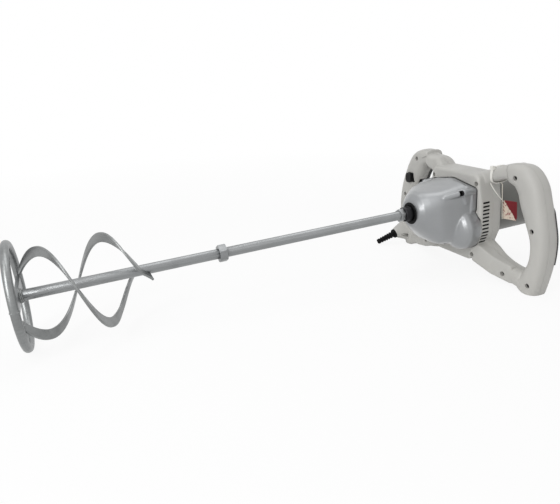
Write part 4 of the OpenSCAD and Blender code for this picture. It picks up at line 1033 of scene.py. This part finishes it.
@dataclass
class FrameShells:
    """Both shells of the frame and the soft pads on the grips."""

    near_grip: Sequence[Tuple[float, float, float]] = (
        (106.5, 61, 16), (120.5, 57, 19), (132, 43.5, 19.8), (138.5, 24.5, 19.8),
        (147.5, 0, 17.2), (155, -24, 14.4), (156.5, -44, 13.2), (154.2, -64, 13.6),
        (147.8, -84, 16.4), (140, -103, 19.4))
    far_grip: Sequence[Tuple[float, float, float]] = (
        (93, 63, 11.5), (108, 58.5, 16.5), (119, 50, 20), (128.5, 37, 20.6),
        (137.5, 21, 20.2), (148, 0, 18.6), (155.5, -24, 16), (157.5, -44, 15), (155, -64, 15),
        (148.5, -84, 17), (140, -103, 19.4))
    near_arm: Sequence[Tuple[float, float, float]] = (
        (44, 44, 14), (62, 53, 11), (80, 60, 10.5), (98, 64, 12), (112, 64, 13))
    far_arm: Sequence[Tuple[float, float, float]] = (
        (44, 41, 12), (58, 54, 12), (74, 58.5, 10), (90, 59.5, 9.5), (106, 58.5, 11))
    low_arm: Sequence[Tuple[float, float, float]] = (
        (40, -67, 20), (60, -76.5, 18.5), (75, -83, 15.5), (92, -88, 13.5), (110, -91.5, 13),
        (130, -94, 14))
    grip_x: float = 116.0
    grip_depth: float = 18.0
    arm_x: float = 114.0
    arm_depth: float = 15.5
    cap: float = 8.0
    square: float = 2.9
    wall: float = 3.0
    pad: float = 1.25
    parting: float = 112.0
    seam: float = 0.3
    shy: float = 0.25
    body_x: Tuple[float, float] = (86.0, 131.0)
    body_posts: Sequence[Tuple[float, float]] = (
        (51, -34), (51, 10), (45, 45), (-45, 45), (-51, 10), (-51, -34), (-34, -74), (34, -74))
    post_r: float = 11.0
    front_edge: float = 5.0
    rear_edge: float = 9.0
    screws: Sequence[Tuple[float, float]] = (
        (-114.4, 58.8), (-150, -12), (-148.5, -95), (-102, -91), (-45, -74), (-50.5, 41.8),
        (114.4, 58.8), (150, -12), (142, -91), (78, -84), (45, -74), (50, 41.5))
    screw_seat: float = 102.0
    gland_at: Tuple[float, float, float] = (80, 158.6, -88.8)
    gland_way: Tuple[float, float, float] = (-0.94, 0.13, -0.31)
    lay_at: Tuple[float, float] = LAY_AXIS
    lay_r: float = 34.39
    motor_drop: float = 15.0
    motor_r: float = 44.0
    grain: float = 1.05
    dial_slot: Sequence[Tuple[float, float, float]] = ((118.0, 102.5, 13.0), (131.0, 129.0, 19.0))
    root_rows: Sequence[Tuple[float, float, float, float]] = (
        (91, 47, -55, -81), (95.6, 82, -71, -93), (102.8, 114, -80, -99.5))

    @staticmethod
    def curve(line: np.ndarray, t: np.ndarray) -> np.ndarray:
        """Smooth curve through listed values: the cubic through four neighbours, slopes from (c - a) / 2.

        Args:
            line: Listed values.
            t: Places, from 0 to the last value's number.

        Returns:
            Values at the places.
        """
        last = len(line) - 1
        i = np.minimum(np.floor(t).astype(int), last - 1)
        u = (t - i)[:, None]
        a, b = line[np.maximum(i - 1, 0)], line[i]
        c, d = line[i + 1], line[np.minimum(i + 2, last)]
        return 0.5 * (2 * b + (c - a) * u + (2 * a - 5 * b + 4 * c - d) * u ** 2
                      + (3 * b - a - 3 * c + d) * u ** 3)

    def limb(self, line: Sequence[Tuple[float, float, float]], side: int, mid: float, deep: float,
             inset: float, cap: float, crisp: bool = False, steps: int = 90,
             corners: int = 72) -> Surface:
        """Grip or arm: a squarish outline carried along a curve in the frame's plane.

        Outline point at angle a: width w sgn(cos a) |cos a|^(2/p) across and depth
        d sgn(sin a) |sin a|^(2/p) along X, where p is square. Caps shrink the outline as they run out.

        Args:
            line: Points of (outwards, up, half width).
            side: -1 for the near side, 1 for the far side.
            mid: X of the middle.
            deep: Half depth along X.
            inset: How far the whole outline is drawn in.
            cap: Length of the rounded ends, 0 for flat ones.
            crisp: Whether the upper end is a flat face with a small edge.
            steps: Places along the curve.
            corners: Points of the outline.

        Returns:
            Points and faces.
        """
        data = np.asarray(line, dtype=float) * np.array([side, 1.0, 1.0])
        last = len(data) - 1
        t = np.linspace(0.0, last, steps)

        def way(at: np.ndarray) -> np.ndarray:
            """Direction of the curve at each place."""
            after, before = np.minimum(at + 0.05, last), np.maximum(at - 0.05, 0.0)
            return normed((self.curve(data, after) - self.curve(data, before))[:, :2])

        at, grow, shift = [t], [np.ones(steps)], [np.zeros(steps)]
        if cap > 0.0:
            bend = np.radians(np.linspace(6.0, 86.0, 12))
            if crisp:
                head_s = -(cap - 3.4 - inset) - 2.4 * np.sin(bend)
                head_g = 0.97 - 0.13 * (1.0 - np.cos(bend))
            else:
                head_s, head_g = -(cap - inset) * np.sin(bend), 1.0 - 0.2 * (1.0 - np.cos(bend))
            tail_s, tail_g = (cap - inset) * np.sin(bend), 1.0 - 0.2 * (1.0 - np.cos(bend))
            at = [np.zeros(12), t, np.full(12, float(last))]
            grow = [head_g[::-1], grow[0], tail_g]
            shift = [head_s[::-1], shift[0], tail_s]
        place, grow_all, shift_all = np.concatenate(at), np.concatenate(grow), np.concatenate(shift)
        q = self.curve(data, place)
        d = way(place)
        centre = q[:, :2] + shift_all[:, None] * d
        across = np.stack([-d[:, 1], d[:, 0]], axis=1)
        a = angles(corners) + np.pi / corners
        wide, thick = squarish(a, 2.0 / self.square)
        w = ((q[:, 2] - inset - self.shy) * grow_all)[:, None] * wide
        x = mid + ((deep - inset) * grow_all)[:, None] * thick
        y = centre[:, 0:1] + w * across[:, 0:1]
        z = centre[:, 1:2] + w * across[:, 1:2]
        return np.stack([x, y, z], axis=-1).reshape(-1, 3), net(len(place), corners, False, True, True)

    def block(self, inset: float) -> Surface:
        """Body of the frame: its outline with a small rounded edge in front and a larger one behind.

        At depth d in from a face the outline is drawn in by r - sqrt(r^2 - (r - d)^2).

        Args:
            inset: How far all faces are drawn in.

        Returns:
            Points and faces.
        """
        bend = np.radians(np.linspace(0.0, 90.0, 7))
        rf, rr = max(self.front_edge - inset, 0.6), max(self.rear_edge - inset, 0.6)
        x0, x1 = self.body_x[0] + inset, self.body_x[1] - inset
        xs = np.concatenate([x0 + rf * (1.0 - np.cos(bend)), x1 - rr * (1.0 - np.cos(bend[::-1]))])
        drawn = np.concatenate([rf * (1.0 - np.sin(bend)), rr * (1.0 - np.sin(bend[::-1]))])
        posts = np.asarray(self.body_posts, dtype=float)
        edge = np.roll(posts, -1, axis=0) - posts
        facing = np.arctan2(-edge[:, 0], edge[:, 1])
        before = np.roll(facing, 1)
        turn = (facing - before) % (2.0 * np.pi)
        angle = before[:, None] + turn[:, None] * np.linspace(0.0, 1.0, 8)[None, :]
        unit = np.stack([np.cos(angle), np.sin(angle)], axis=-1).reshape(-1, 2)
        centre = np.repeat(posts, 8, axis=0)
        rows = [np.column_stack([np.full(len(unit), x), centre + (self.post_r - inset - e) * unit])
                for x, e in zip(xs, drawn)]
        return np.concatenate(rows), net(len(xs), len(unit), False, True, True)

    def roots(self, inset: float) -> List[Surface]:
        """Deep roots of the lower arms, with a crisp edge along their flat fronts."""
        crisp = 1.6 if inset == 0.0 else 0.0
        parts = []
        for side in (-1, 1):
            for first, second in zip(self.root_rows, self.root_rows[1:]):
                cloud = [ball((x + (0.0 if x > 105.0 else -crisp), side * y, z), 4.0 - inset - crisp, 14)
                         for front, y, top, bottom in (first, second) for x in (front, 108.0)
                         for z in (top + crisp, bottom - crisp)]
                parts.append(hull(np.concatenate(cloud)))
        return parts

    def cord_way(self) -> np.ndarray:
        """Unit direction in which the cord leaves."""
        return np.asarray(self.gland_way) / np.linalg.norm(self.gland_way)

    def form(self, inset: float) -> List[Surface]:
        """All closed forms of the frame, drawn in by a distance."""
        r = 7.0 - inset
        hump = [ball((x, y, z), r) for x in (100, 106)
                for y, z in ((48, 54), (56, 61), (76, 62), (48, 44), (78, 56))]
        way = self.cord_way()
        start = np.asarray(self.gland_at) - way * (4.0 + inset)
        boss = [ball((108, 150, -89), 16.0 - inset), ball((104, 160, -76), 10.0 - inset),
                pipe(start, way, 9.6 - inset, 4.0)[0]]
        parts = [self.block(inset), hull(np.concatenate(hump)), hull(np.concatenate(boss))]
        parts += self.roots(inset)
        for side, grip, arm in ((-1, self.near_grip, self.near_arm), (1, self.far_grip, self.far_arm)):
            parts.append(self.limb(grip, side, self.grip_x, self.grip_depth, inset, self.cap, crisp=True))
            parts.append(self.limb(arm, side, self.arm_x, self.arm_depth, inset, 0.0, steps=40))
            parts.append(self.limb(self.low_arm, side, self.arm_x, self.arm_depth, inset, 0.0, steps=50))
        return parts

    def vents(self, slack: float = 0.0) -> List[Surface]:
        """Slots with round ends in both sides of the body, leaning by six degrees."""
        a = np.linspace(-np.pi / 2.0, np.pi / 2.0, 7)
        right = np.stack([5.15 + (1.5 - slack) * np.cos(a), (1.5 - slack) * np.sin(a)], 1)
        slot = np.concatenate([right, -right])
        parts = []
        for side in (-1, 1):
            lean = math.radians(-6.0 * side)
            for i in range(12):
                ends = []
                for y in (-12.0, 12.0):
                    z = slot[:, 1]
                    ends.append(np.column_stack([self.body_x[0] + 11.75 + slot[:, 0],
                                                 side * 57.0 + y * math.cos(lean) - z * math.sin(lean),
                                                 13.0 - 5.9 * i + y * math.sin(lean) + z * math.cos(lean)]))
                parts.append((np.concatenate(ends), net(2, len(slot), False, True, True)))
        return parts

    def cutters(self) -> List[List[Surface]]:
        """Groups of cutters that both shells share; within a group none meets another."""
        case = wrapped(((0, 0, 44.8), (-47, 30, 7.3), (47, 30, 7.3), (-47, 4, 7.3), (47, 4, 7.3),
                        (40, -48, 12.8), (-20, -50, 12.8)))
        turn = angles(128)
        bulge = np.array(self.lay_at) + (self.lay_r + 0.2) * np.stack([np.cos(turn), np.sin(turn)], 1)
        low = BENCH.back(block((-0.4, -0.4, -0.08), (0.6, 0.4, 0.0))[0])
        way = self.cord_way()
        return [
            [prism(case, 74.0, 95.0)],
            [prism(bulge, 73.0, 90.0)],
            [pipe((86.0, 0.0, -self.motor_drop), (1, 0, 0), self.motor_r + 0.3, 65.0, 160)],
            [(low, block((0, 0, 0), (1, 1, 1))[1])],
            [pipe(np.asarray(self.gland_at) - way * 40.0, way, 4.6, 60.0)],
            [block((107.0, 104.0, -35.5), (118.0, 146.6, 19.5))],
            [block((82.0, 124.3, 13.3), (106.0, 140.3, 31.3))],
            [block(*self.dial_slot)],
            self.vents(),
        ]

    def bars(self, x0: float, radius: float, length: float) -> Solid:
        """Round bars along X, one at each screw."""
        return Solid([pipe((x0, y, z), (1, 0, 0), radius, length) for y, z in self.screws])

    def shells(self) -> None:
        """Melts the forms, hollows them, makes every cut and parts the shells."""
        outer = Solid(self.form(0.0)).melt(self.grain, 5)
        inner = Solid(self.form(self.wall)).melt(2.4, 1)
        inner.cut(self.bars(self.screw_seat - 18.0, 5.1, 158.0 - self.screw_seat))
        outer.cut(inner)
        for group in self.cutters():
            outer.cut(Solid(group))
        arm = self.limb(self.near_arm, -1, self.arm_x, self.arm_depth, 1.1, 0.0, steps=40)
        across, along = np.array([0.27, 0.96]), np.array([-0.96, 0.27])
        slab = np.array([np.array([-99.2, 62.8]) + i * 24.0 * across + j * 0.45 * along
                         for i, j in ((-1, -1), (1, -1), (1, 1), (-1, 1))])
        outer.cut(Solid([prism(slab, 92.0, 136.0)]).cut(Solid([arm])))
        crease = np.array([[58.0, 77.4], [98.0, 61.2], [98.3, 62.0], [58.3, 78.2]])
        outer.cut(Solid([prism(crease, 90.0, 99.9)]))
        front, rear = outer, outer.copy()
        half = self.seam / 2.0
        front.cut(Solid([block((self.parting - half, -300, -300), (300, 300, 300))]))
        rear.cut(Solid([block((0, -300, -300), (self.parting + half, 300, 300))]))
        front.cut(self.bars(60.0, 2.1, 53.0))
        front.cut(self.bars(60.0, 3.7, self.screw_seat - 57.0))
        rear.cut(self.bars(self.parting - 1.0, 1.95, 16.0))
        front.finish("front_shell", Palette.FRAME, "housing", 34.0, "frame_front_shell")
        rear.finish("rear_shell", Palette.FRAME, "housing", 34.0, "frame_rear_shell")

    def louvres(self) -> None:
        """Black screen ribs that fill the vents up to just under the body's skin."""
        ribs = Solid(self.vents(-0.4)).cut(Solid([self.block(0.45)]), "INTERSECT")
        ribs.cut(Solid([block((80.0, -53.5, -80.0), (120.0, 53.5, 40.0))]))
        ribs.finish("vent_ribs", Palette.BLACK, "housing", 30.0)

    def pads(self) -> None:
        """Soft pads: the grip's form grown by the pad's thickness, cut to the pad's outline."""
        for side, name, grip, arm in ((-1, "near_grip_pad", self.near_grip, self.near_arm),
                                      (1, "far_grip_pad", self.far_grip, self.far_arm)):
            place = (grip, side, self.grip_x, self.grip_depth)
            pad = Solid([self.limb(*place, -self.pad, self.cap, crisp=True)])
            area = np.array([[96, 60], [118, 44], [186, -8], [196, -64], [120, -64], [96, -50]]) * [side, 1]
            pad.cut(Solid([prism(area, self.grip_x, self.grip_x + 40.0)]), "INTERSECT")
            edge = np.array([[5, 90], [5, 124], [13.5, 168], [13.5, 190], [40, 190], [40, 90]]) * [1, side]
            pad.cut(Solid([upright(edge + [self.grip_x, 0.0], -100.0, 100.0)]), "INTERSECT")
            pad.cut(Solid([self.limb(*place, -0.05, self.cap, crisp=True)]))
            pad.cut(Solid([self.limb(arm, side, self.arm_x, self.arm_depth, 0.0, 0.0, steps=40)]))
            if side > 0:
                pad.cut(Solid([block(*self.dial_slot)]))
            pad.finish(name + "_skin", Palette.SOFT, "housing", 34.0, name)

    def build(self) -> None:
        """Builds shells, vent ribs and pads."""
        self.shells()
        self.louvres()
        self.pads()


@dataclass
class GearCase:
    """Cast gear case: domed front, boxy middle, bulge over the large wheel, flange, bosses and ribs."""

    rows: Sequence[Tuple[float, float, float, float, float, float]] = (
        (2, 21, 21, 21, 21, 2), (3.4, 23.6, 23.6, 23.6, 23.6, 2), (9, 29.5, 30, 29, 30, 2.1),
        (17, 34.5, 37, 32.5, 37.5, 2.4), (24, 38, 41.5, 33.6, 44, 2.9), (30, 40.6, 44.5, 34.2, 49, 3.5),
        (35, 41.8, 46, 34.8, 52, 4.2), (48, 44.4, 47.3, 37.2, 54, 4.4), (62, 47.6, 49, 40, 56.6, 4.0),
        (77, 51, 51, 43, 60, 3.6))
    posts: Sequence[Tuple[float, float, float]] = (
        (0, 0, 44), (-47, 30, 6.5), (47, 30, 6.5), (-47, 4, 6.5), (47, 4, 6.5), (40, -48, 12),
        (-20, -50, 12))
    screws: Sequence[Tuple[float, float]] = ((-48.5, 31), (48.5, 31), (42, -51), (-10, -57))
    lay: Tuple[float, float] = LAY_AXIS
    bulge: Sequence[Tuple[float, float]] = (
        (57, 21), (60, 26.5), (64.5, 31), (69.5, 33.4), (74, 34), (82, 34))
    back: float = 86.0

    def disc(self, x0: float, x1: float, radius: float, at: Tuple[float, float] = (0.0, 0.0)) -> Surface:
        """Round bar along X about a place in Y and Z."""
        return pipe((x0, at[0], at[1]), (1, 0, 0), radius, x1 - x0, 96)

    def ribs(self) -> List[Surface]:
        """Soft rib from each shoulder to its upper boss, and a small gusset under the boss."""
        parts = []
        for side in (-1, 1):
            wide = 41.0 if side < 0 else 45.0
            rib = ((38, wide - 4, 24.5, 4.2), (64, 47.4, 31, 4.6), (78, 47.6, 31, 6.0))
            gusset = ((64.5, 49.4, 27, 1.7), (69, 49.6, 14, 1.0), (80, 50, 27, 1.7), (80, 50, 14, 1.0))
            for steps, knobs in ((20, rib), (12, gusset)):
                cloud = [ball((x, side * y, z), r, steps) for x, y, z, r in knobs]
                parts.append(hull(np.concatenate(cloud)))
        return parts

    def drawn_in(self, gap: float = 4.0, slim: float = 0.2) -> List[Tuple[float, float, float]]:
        """The flange's posts, moved towards the axis by the gap and made slimmer."""
        moved = []
        for y, z, r in self.posts:
            share = 1 - gap / math.hypot(y, z) if y or z else 1
            moved.append((y * share, z * share, r - slim))
        return moved

    def build(self) -> None:
        """Melts the form, then bores it as the gears and screws need."""
        dome = np.concatenate([pipe((x, self.lay[0], self.lay[1]), (1, 0, 0), r, 0.5, 72)[0]
                               for x, r in self.bulge])
        lead = np.array([[46.0, -30.0, -38.0]])
        parts = [staged(self.rows), hull(np.concatenate([dome, lead])),
                 prism(wrapped(self.posts), 77.0, self.back),
                 self.disc(77.0, self.back, 34.2, self.lay)]
        parts += [hull(np.concatenate([ball((65.5, y, z), 5.4), ball((82, y, z), 6.2)]))
                  for y, z in self.screws[:2]]
        case = Solid(parts + self.ribs()).melt(1.0, 4)
        holes = [[self.disc(-1.0, 7.0, 17.4)], [self.disc(6.0, 40.0, 14.0)], [self.disc(9.0, 23.0, 17.5)],
                 [self.disc(38.0, 56.0, 27.0)], [self.disc(54.0, 83.0, 34.6)],
                 [self.disc(72.0, 83.0, 32.2, self.lay)], [self.disc(55.0, 73.0, 14.2, self.lay)],
                 [prism(wrapped(self.drawn_in()), 82.5, 87.0)],
                 [self.disc(57.0, 65.0, 4.2, at) for at in self.screws],
                 [self.disc(60.0, 87.0, 2.2, at) for at in self.screws]]
        for group in holes:
            case.cut(Solid(group))
        case.cut(Solid([block((self.back, -100, -100), (100, 100, 100))]))
        case.finish("gear_case_skin", Palette.SILVER, "housing", 40.0, "gear_case")


@dataclass
class TieAndTag:
    """Cable tie snug round the near upper arm, its tail, and a blank tag on a string."""

    at_y: float = -69.0
    arm_x: float = 114.0
    arm_z: float = 55.8
    half_x: float = 15.5
    half_z: float = 11.9
    body: str = "housing"

    def strand(self, points: Sequence[Sequence[float]], radius: float) -> Surface:
        """Thin round strand through a few points, bent as a quadratic curve."""
        p = np.asarray(points, dtype=float)
        u = np.linspace(0.0, 1.0, 24)[:, None]
        line = (1 - u) ** 2 * p[0] + 2 * u * (1 - u) * p[1] + u ** 2 * p[2]
        side, up = frames(line, np.tile(np.array([0.9, 0.3, 0.1]), (len(line), 1)))
        a = angles(12)
        return swept(line, radius * np.stack([np.cos(a), np.sin(a)], 1), side, up)

    def build(self) -> None:
        """Builds tie, string and tag."""
        a = angles(160)
        unit = np.stack(squarish(a, 2 / 3.1), 1)
        line = np.stack([self.arm_x + (self.half_x + 0.8) * unit[:, 0], np.full(160, self.at_y),
                         self.arm_z + (self.half_z + 0.8) * unit[:, 1]], 1)
        out = np.stack([np.cos(a), np.zeros(160), np.sin(a)], 1)
        side, up = frames(line, out, closed=True)
        front = self.arm_x - self.half_x - 0.6
        head = Solid([block((front - 0.6, self.at_y - 3.0, 64.4), (front + 4.6, self.at_y + 3.0, 69.8))])
        tie = [swept(line, rounded(4.4, 1.2, 0.35), side, up, closed=True),
               self.strand(((front - 1.2, self.at_y, 45.0), (100.0, -70.5, 35.0),
                            (117.0, -75.6, 14.2)), 0.75)]
        points, faces = join(tie)
        strap = bring("tie_strap", BENCH.row(points), faces, Palette.TIE, self.body, 40.0)
        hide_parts("cable_tie")
        head.finish("tie_head", Palette.TIE, self.body, 40.0)
        loops = [self.strand(((111.0, -78.6, 41.0), (113.6, -76.6, 14.0), (113.0, -79.4, -12.0)), 0.55),
                 self.strand(((111.0, -78.6, 41.0), (112.0, -76.0, 43.6), (113.0, -73.0, 44.2)), 0.55)]
        points, faces = join(loops)
        bring("tag_string", BENCH.row(points), faces, Palette.STRING, self.body, 40.0)
        self.tag()

    def tag(self) -> None:
        """Card with cut corners: x = 117.6 + 1.2 sin(pi u), where u is the share of the way across."""
        u, v = np.meshgrid(np.linspace(0.0, 1.0, 25), np.linspace(0.0, 1.0, 21), indexing="ij")
        pinch = 1.0 - 0.1 * np.clip((np.abs(v - 0.5) - 0.36) / 0.14, 0.0, 1.0)
        y = -75.4 - 13.6 - 13.6 * (2.0 * u - 1.0) * pinch
        z = -12.0 + 29.0 * v + 2.0 * (u - 0.5)
        x = 117.6 + 1.2 * np.sin(np.pi * u) + 0.5 * np.sin(2.0 * np.pi * v)
        face = np.stack([x, y, z], axis=-1).reshape(-1, 3)
        both = np.concatenate([face, face + [0.5, 0.0, 0.0]])
        count = len(face)
        grid = net(25, 21, False, False, False)
        faces = grid + [[i + count for i in q[::-1]] for q in grid]
        rim = np.concatenate([np.arange(21), 21 * np.arange(1, 25) + 20, 504 + np.arange(19, -1, -1),
                              21 * np.arange(23, 0, -1)])
        faces += [[int(b), int(a), int(a + count), int(b + count)] for a, b in zip(rim, np.roll(rim, -1))]
        card = bring("tag_blank", BENCH.row(both), faces, Palette.CARD, self.body, 40.0)
        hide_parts("hang_tag")


@dataclass
class Housing:
    """Motor casing, the screws of gear case and casing, and the small fittings."""

    body: str = "housing"
    soft: Dict[str, Tuple[Palette, float, float]] = field(default_factory=lambda: {
        "frame_screws": (Palette.DARK, 0.00015, 30.0),
        "gear_case_screws": (Palette.BLACK, 0.0002, 30.0),
        "motor_housing": (Palette.MOTOR, 0.0004, 30.0),
        "motor_rear_cover": (Palette.MOTOR, 0.0003, 30.0),
        "rear_cover_screws": (Palette.DARK, 0.0002, 30.0),
        "nose_seal": (Palette.RUBBER, 0.0002, 30.0),
        "brush_caps": (Palette.BLACK, 0.0002, 30.0),
        "cord_gland": (Palette.RUBBER, 0.0003, 30.0),
        "cord_sleeve": (Palette.RUBBER, 0.0002, 30.0),
    })

    def build(self) -> None:
        """Finishes each node of the housing that shows."""
        for node, (finish, bevel, angle) in self.soft.items():
            machined(node, finish, self.body, bevel, angle)


@dataclass
class Controls:
    """Trigger, lock button and speed dial, each on its own body."""

    def build(self) -> None:
        """Finishes the three controls."""
        machined("trigger", Palette.BLACK, "trigger", 0.0008)
        machined("lock_button", Palette.BLACK, "lock_button", 0.0006)
        machined("speed_dial", Palette.BLACK, "speed_dial", 0.0003)
        # The spindle's dark steel is partly painted shade: it darkens the recess inside the nose seal,
        # which is black seal rubber and shadow
        machined("spindle", Palette.DARK, "spindle", 0.0002)


@dataclass
class Inside:
    """Nodes inside the case and casing, which keep their own meshes and get finishes."""

    finishes: Dict[str, Palette] = field(default_factory=lambda: {
        "inner_bearing_plate": Palette.ALLOY, "gear_plate": Palette.ALLOY,
        "spindle_front_bearing": Palette.GROUND, "spindle_rear_bearing": Palette.GROUND,
        "layshaft_bearings": Palette.GROUND, "armature_front_bearing": Palette.GROUND,
        "armature_rear_bearing": Palette.GROUND, "stator_core": Palette.SHEETS,
        "field_coils": Palette.ENAMEL, "brush_holders": Palette.BRASS, "carbon_brushes": Palette.CARBON,
        "air_baffle": Palette.BLACK, "vent_screens": Palette.BLACK,
        "spindle_gear": Palette.GROUND, "spindle_circlip": Palette.DARK,
        "layshaft": Palette.GROUND, "layshaft_wheel": Palette.GROUND, "armature_shaft": Palette.GROUND,
        "armature_core": Palette.SHEETS, "armature_winding": Palette.ENAMEL, "commutator": Palette.COPPER,
        "cooling_fan": Palette.NYLON, "switch_body": Palette.BLACK, "trigger_pin": Palette.GROUND,
        "speed_control_module": Palette.BLACK, "cord_clamp": Palette.NYLON,
    })

    def build(self) -> None:
        """Gives each inner node its finish."""
        for node, finish in self.finishes.items():
            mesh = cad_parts[node].data
            material = finish.value.material()
            if len(mesh.materials) == 0:
                mesh.materials.append(material)
            for index in range(len(mesh.materials)):
                mesh.materials[index] = material


@dataclass
class Studio:
    """Camera, floor, world and lamps."""

    eye: Tuple[float, float, float] = (-493.3, -692.4, 242.7)
    right: Tuple[float, float, float] = (0.91754, -0.38884, -0.08321)
    down: Tuple[float, float, float] = (-0.20136, -0.27390, -0.94044)
    ahead: Tuple[float, float, float] = (0.34289, 0.87965, -0.32961)
    lens: float = 35.0
    sensor: float = 36.0
    glow: float = 0.4
    floor_half: float = 12.0
    floor_z: float = -0.0004

    def camera(self) -> None:
        """Sets the camera where the photograph was taken from."""
        data = bpy.data.cameras.new("photo_camera")
        data.lens = self.lens
        data.sensor_width = self.sensor
        data.sensor_fit = "HORIZONTAL"
        data.clip_start = 0.05
        data.clip_end = 30.0
        camera = linked("photo_camera", data)
        ahead = BENCH.way(self.ahead)
        right = BENCH.way(self.right)
        right -= ahead * float(np.dot(right, ahead))
        right /= np.linalg.norm(right)
        up = np.cross(right, ahead)
        turn = np.eye(4)
        turn[:3, 0], turn[:3, 1], turn[:3, 2] = right, up, -ahead
        turn[:3, 3] = BENCH.row(np.array(self.eye))
        camera.matrix_world = Matrix(turn.tolist())
        bpy.context.scene.camera = camera

    def floor(self) -> None:
        """A wide pale floor that shows as white and keeps a soft shadow."""
        mesh = bpy.data.meshes.new("floor")
        r, z = self.floor_half, self.floor_z
        mesh.from_pydata([(-r, -r, z), (r, -r, z), (r, r, z), (-r, r, z)], [], [(0, 1, 2, 3)])
        plane = linked("floor", mesh)
        shade = Shade("floor_paper")
        shade.put("Base Color", (0.9, 0.9, 0.9))
        shade.put("Roughness", 0.8)
        glow = shade.tree.nodes.new("ShaderNodeEmission")
        glow.inputs[0].default_value = (1.0, 1.0, 1.0, 1.0)
        away = shade.tree.nodes.new("ShaderNodeVectorMath")
        away.operation = "LENGTH"
        shade.tree.links.new(shade.place(), away.inputs[0])
        fade = shade.spread(away.outputs["Value"], 0.5, 1.6, 0.9, 1.0)
        share = shade.sum(eye_share(shade.tree), fade, "MULTIPLY")
        mix = shade.tree.nodes.new("ShaderNodeMixShader")
        shade.tree.links.new(share, mix.inputs[0])
        shade.tree.links.new(shade.bsdf.outputs[0], mix.inputs[1])
        shade.tree.links.new(glow.outputs[0], mix.inputs[2])
        shade.tree.links.new(mix.outputs[0], shade.out.inputs[0])
        mesh.materials.append(shade.material)

    def world(self) -> None:
        """A white surround for the eye and for reflections, dimmer as a lamp."""
        world = bpy.data.worlds.new("studio")
        bpy.context.scene.world = world
        world.use_nodes = True
        tree = world.node_tree
        tree.nodes.clear()
        out = tree.nodes.new("ShaderNodeOutputWorld")
        mix = tree.nodes.new("ShaderNodeMixShader")
        tree.links.new(eye_share(tree), mix.inputs[0])
        for slot, strength in ((1, self.glow), (2, 1.0)):
            light = tree.nodes.new("ShaderNodeBackground")
            light.inputs[0].default_value = (1.0, 1.0, 1.0, 1.0)
            light.inputs[1].default_value = strength
            tree.links.new(light.outputs[0], mix.inputs[slot])
        tree.links.new(mix.outputs[0], out.inputs[0])

    def lamp(self, name: str, at: Sequence[float], to: Sequence[float], size: float, power: float,
             tall: float = 1.0) -> None:
        """One soft lamp.

        Args:
            name: Name of the lamp.
            at: Its place in row metres.
            to: The point that it faces.
            size: Its width in metres.
            power: Its power in watts.
            tall: Its height as a multiple of its width.
        """
        data = bpy.data.lights.new(name, "AREA")
        data.shape = "RECTANGLE"
        data.size = size
        data.size_y = size * tall
        data.energy = power
        lamp = linked(name, data)
        lamp.location = at
        lamp.rotation_euler = (Vector(to) - Vector(at)).to_track_quat("-Z", "Y").to_euler()

    def build(self) -> None:
        """Builds the stage."""
        self.floor()
        self.world()
        self.lamp("key", (-1.5, -0.9, 1.0), (0.2, 0.0, 0.1), 0.55, 17.0, 2.2)
        self.lamp("top", (0.3, 0.4, 2.1), (0.1, 0.0, 0.1), 1.4, 10.0)
        self.lamp("high", (-1.1, -0.4, 1.9), (0.1, 0.0, 0.1), 0.8, 5.0)
        self.lamp("fill", (-0.4, -2.2, 0.9), (0.1, 0.0, 0.1), 1.2, 1.5)
        scene = bpy.context.scene
        scene.view_settings.view_transform = "Standard"


def main() -> None:
    """Builds the stage and every sub-assembly in order, and reports each."""
    logging.basicConfig(level=logging.INFO, format="%(name)s: %(message)s")
    studio = Studio()
    studio.camera()
    for part in (studio, Paddle(), FrameShells(), GearCase(), Housing(), TieAndTag(), Controls(), Inside()):
        part.build()
        LOG.info("built %s", type(part).__name__)


if __name__ == "__main__":
    main()
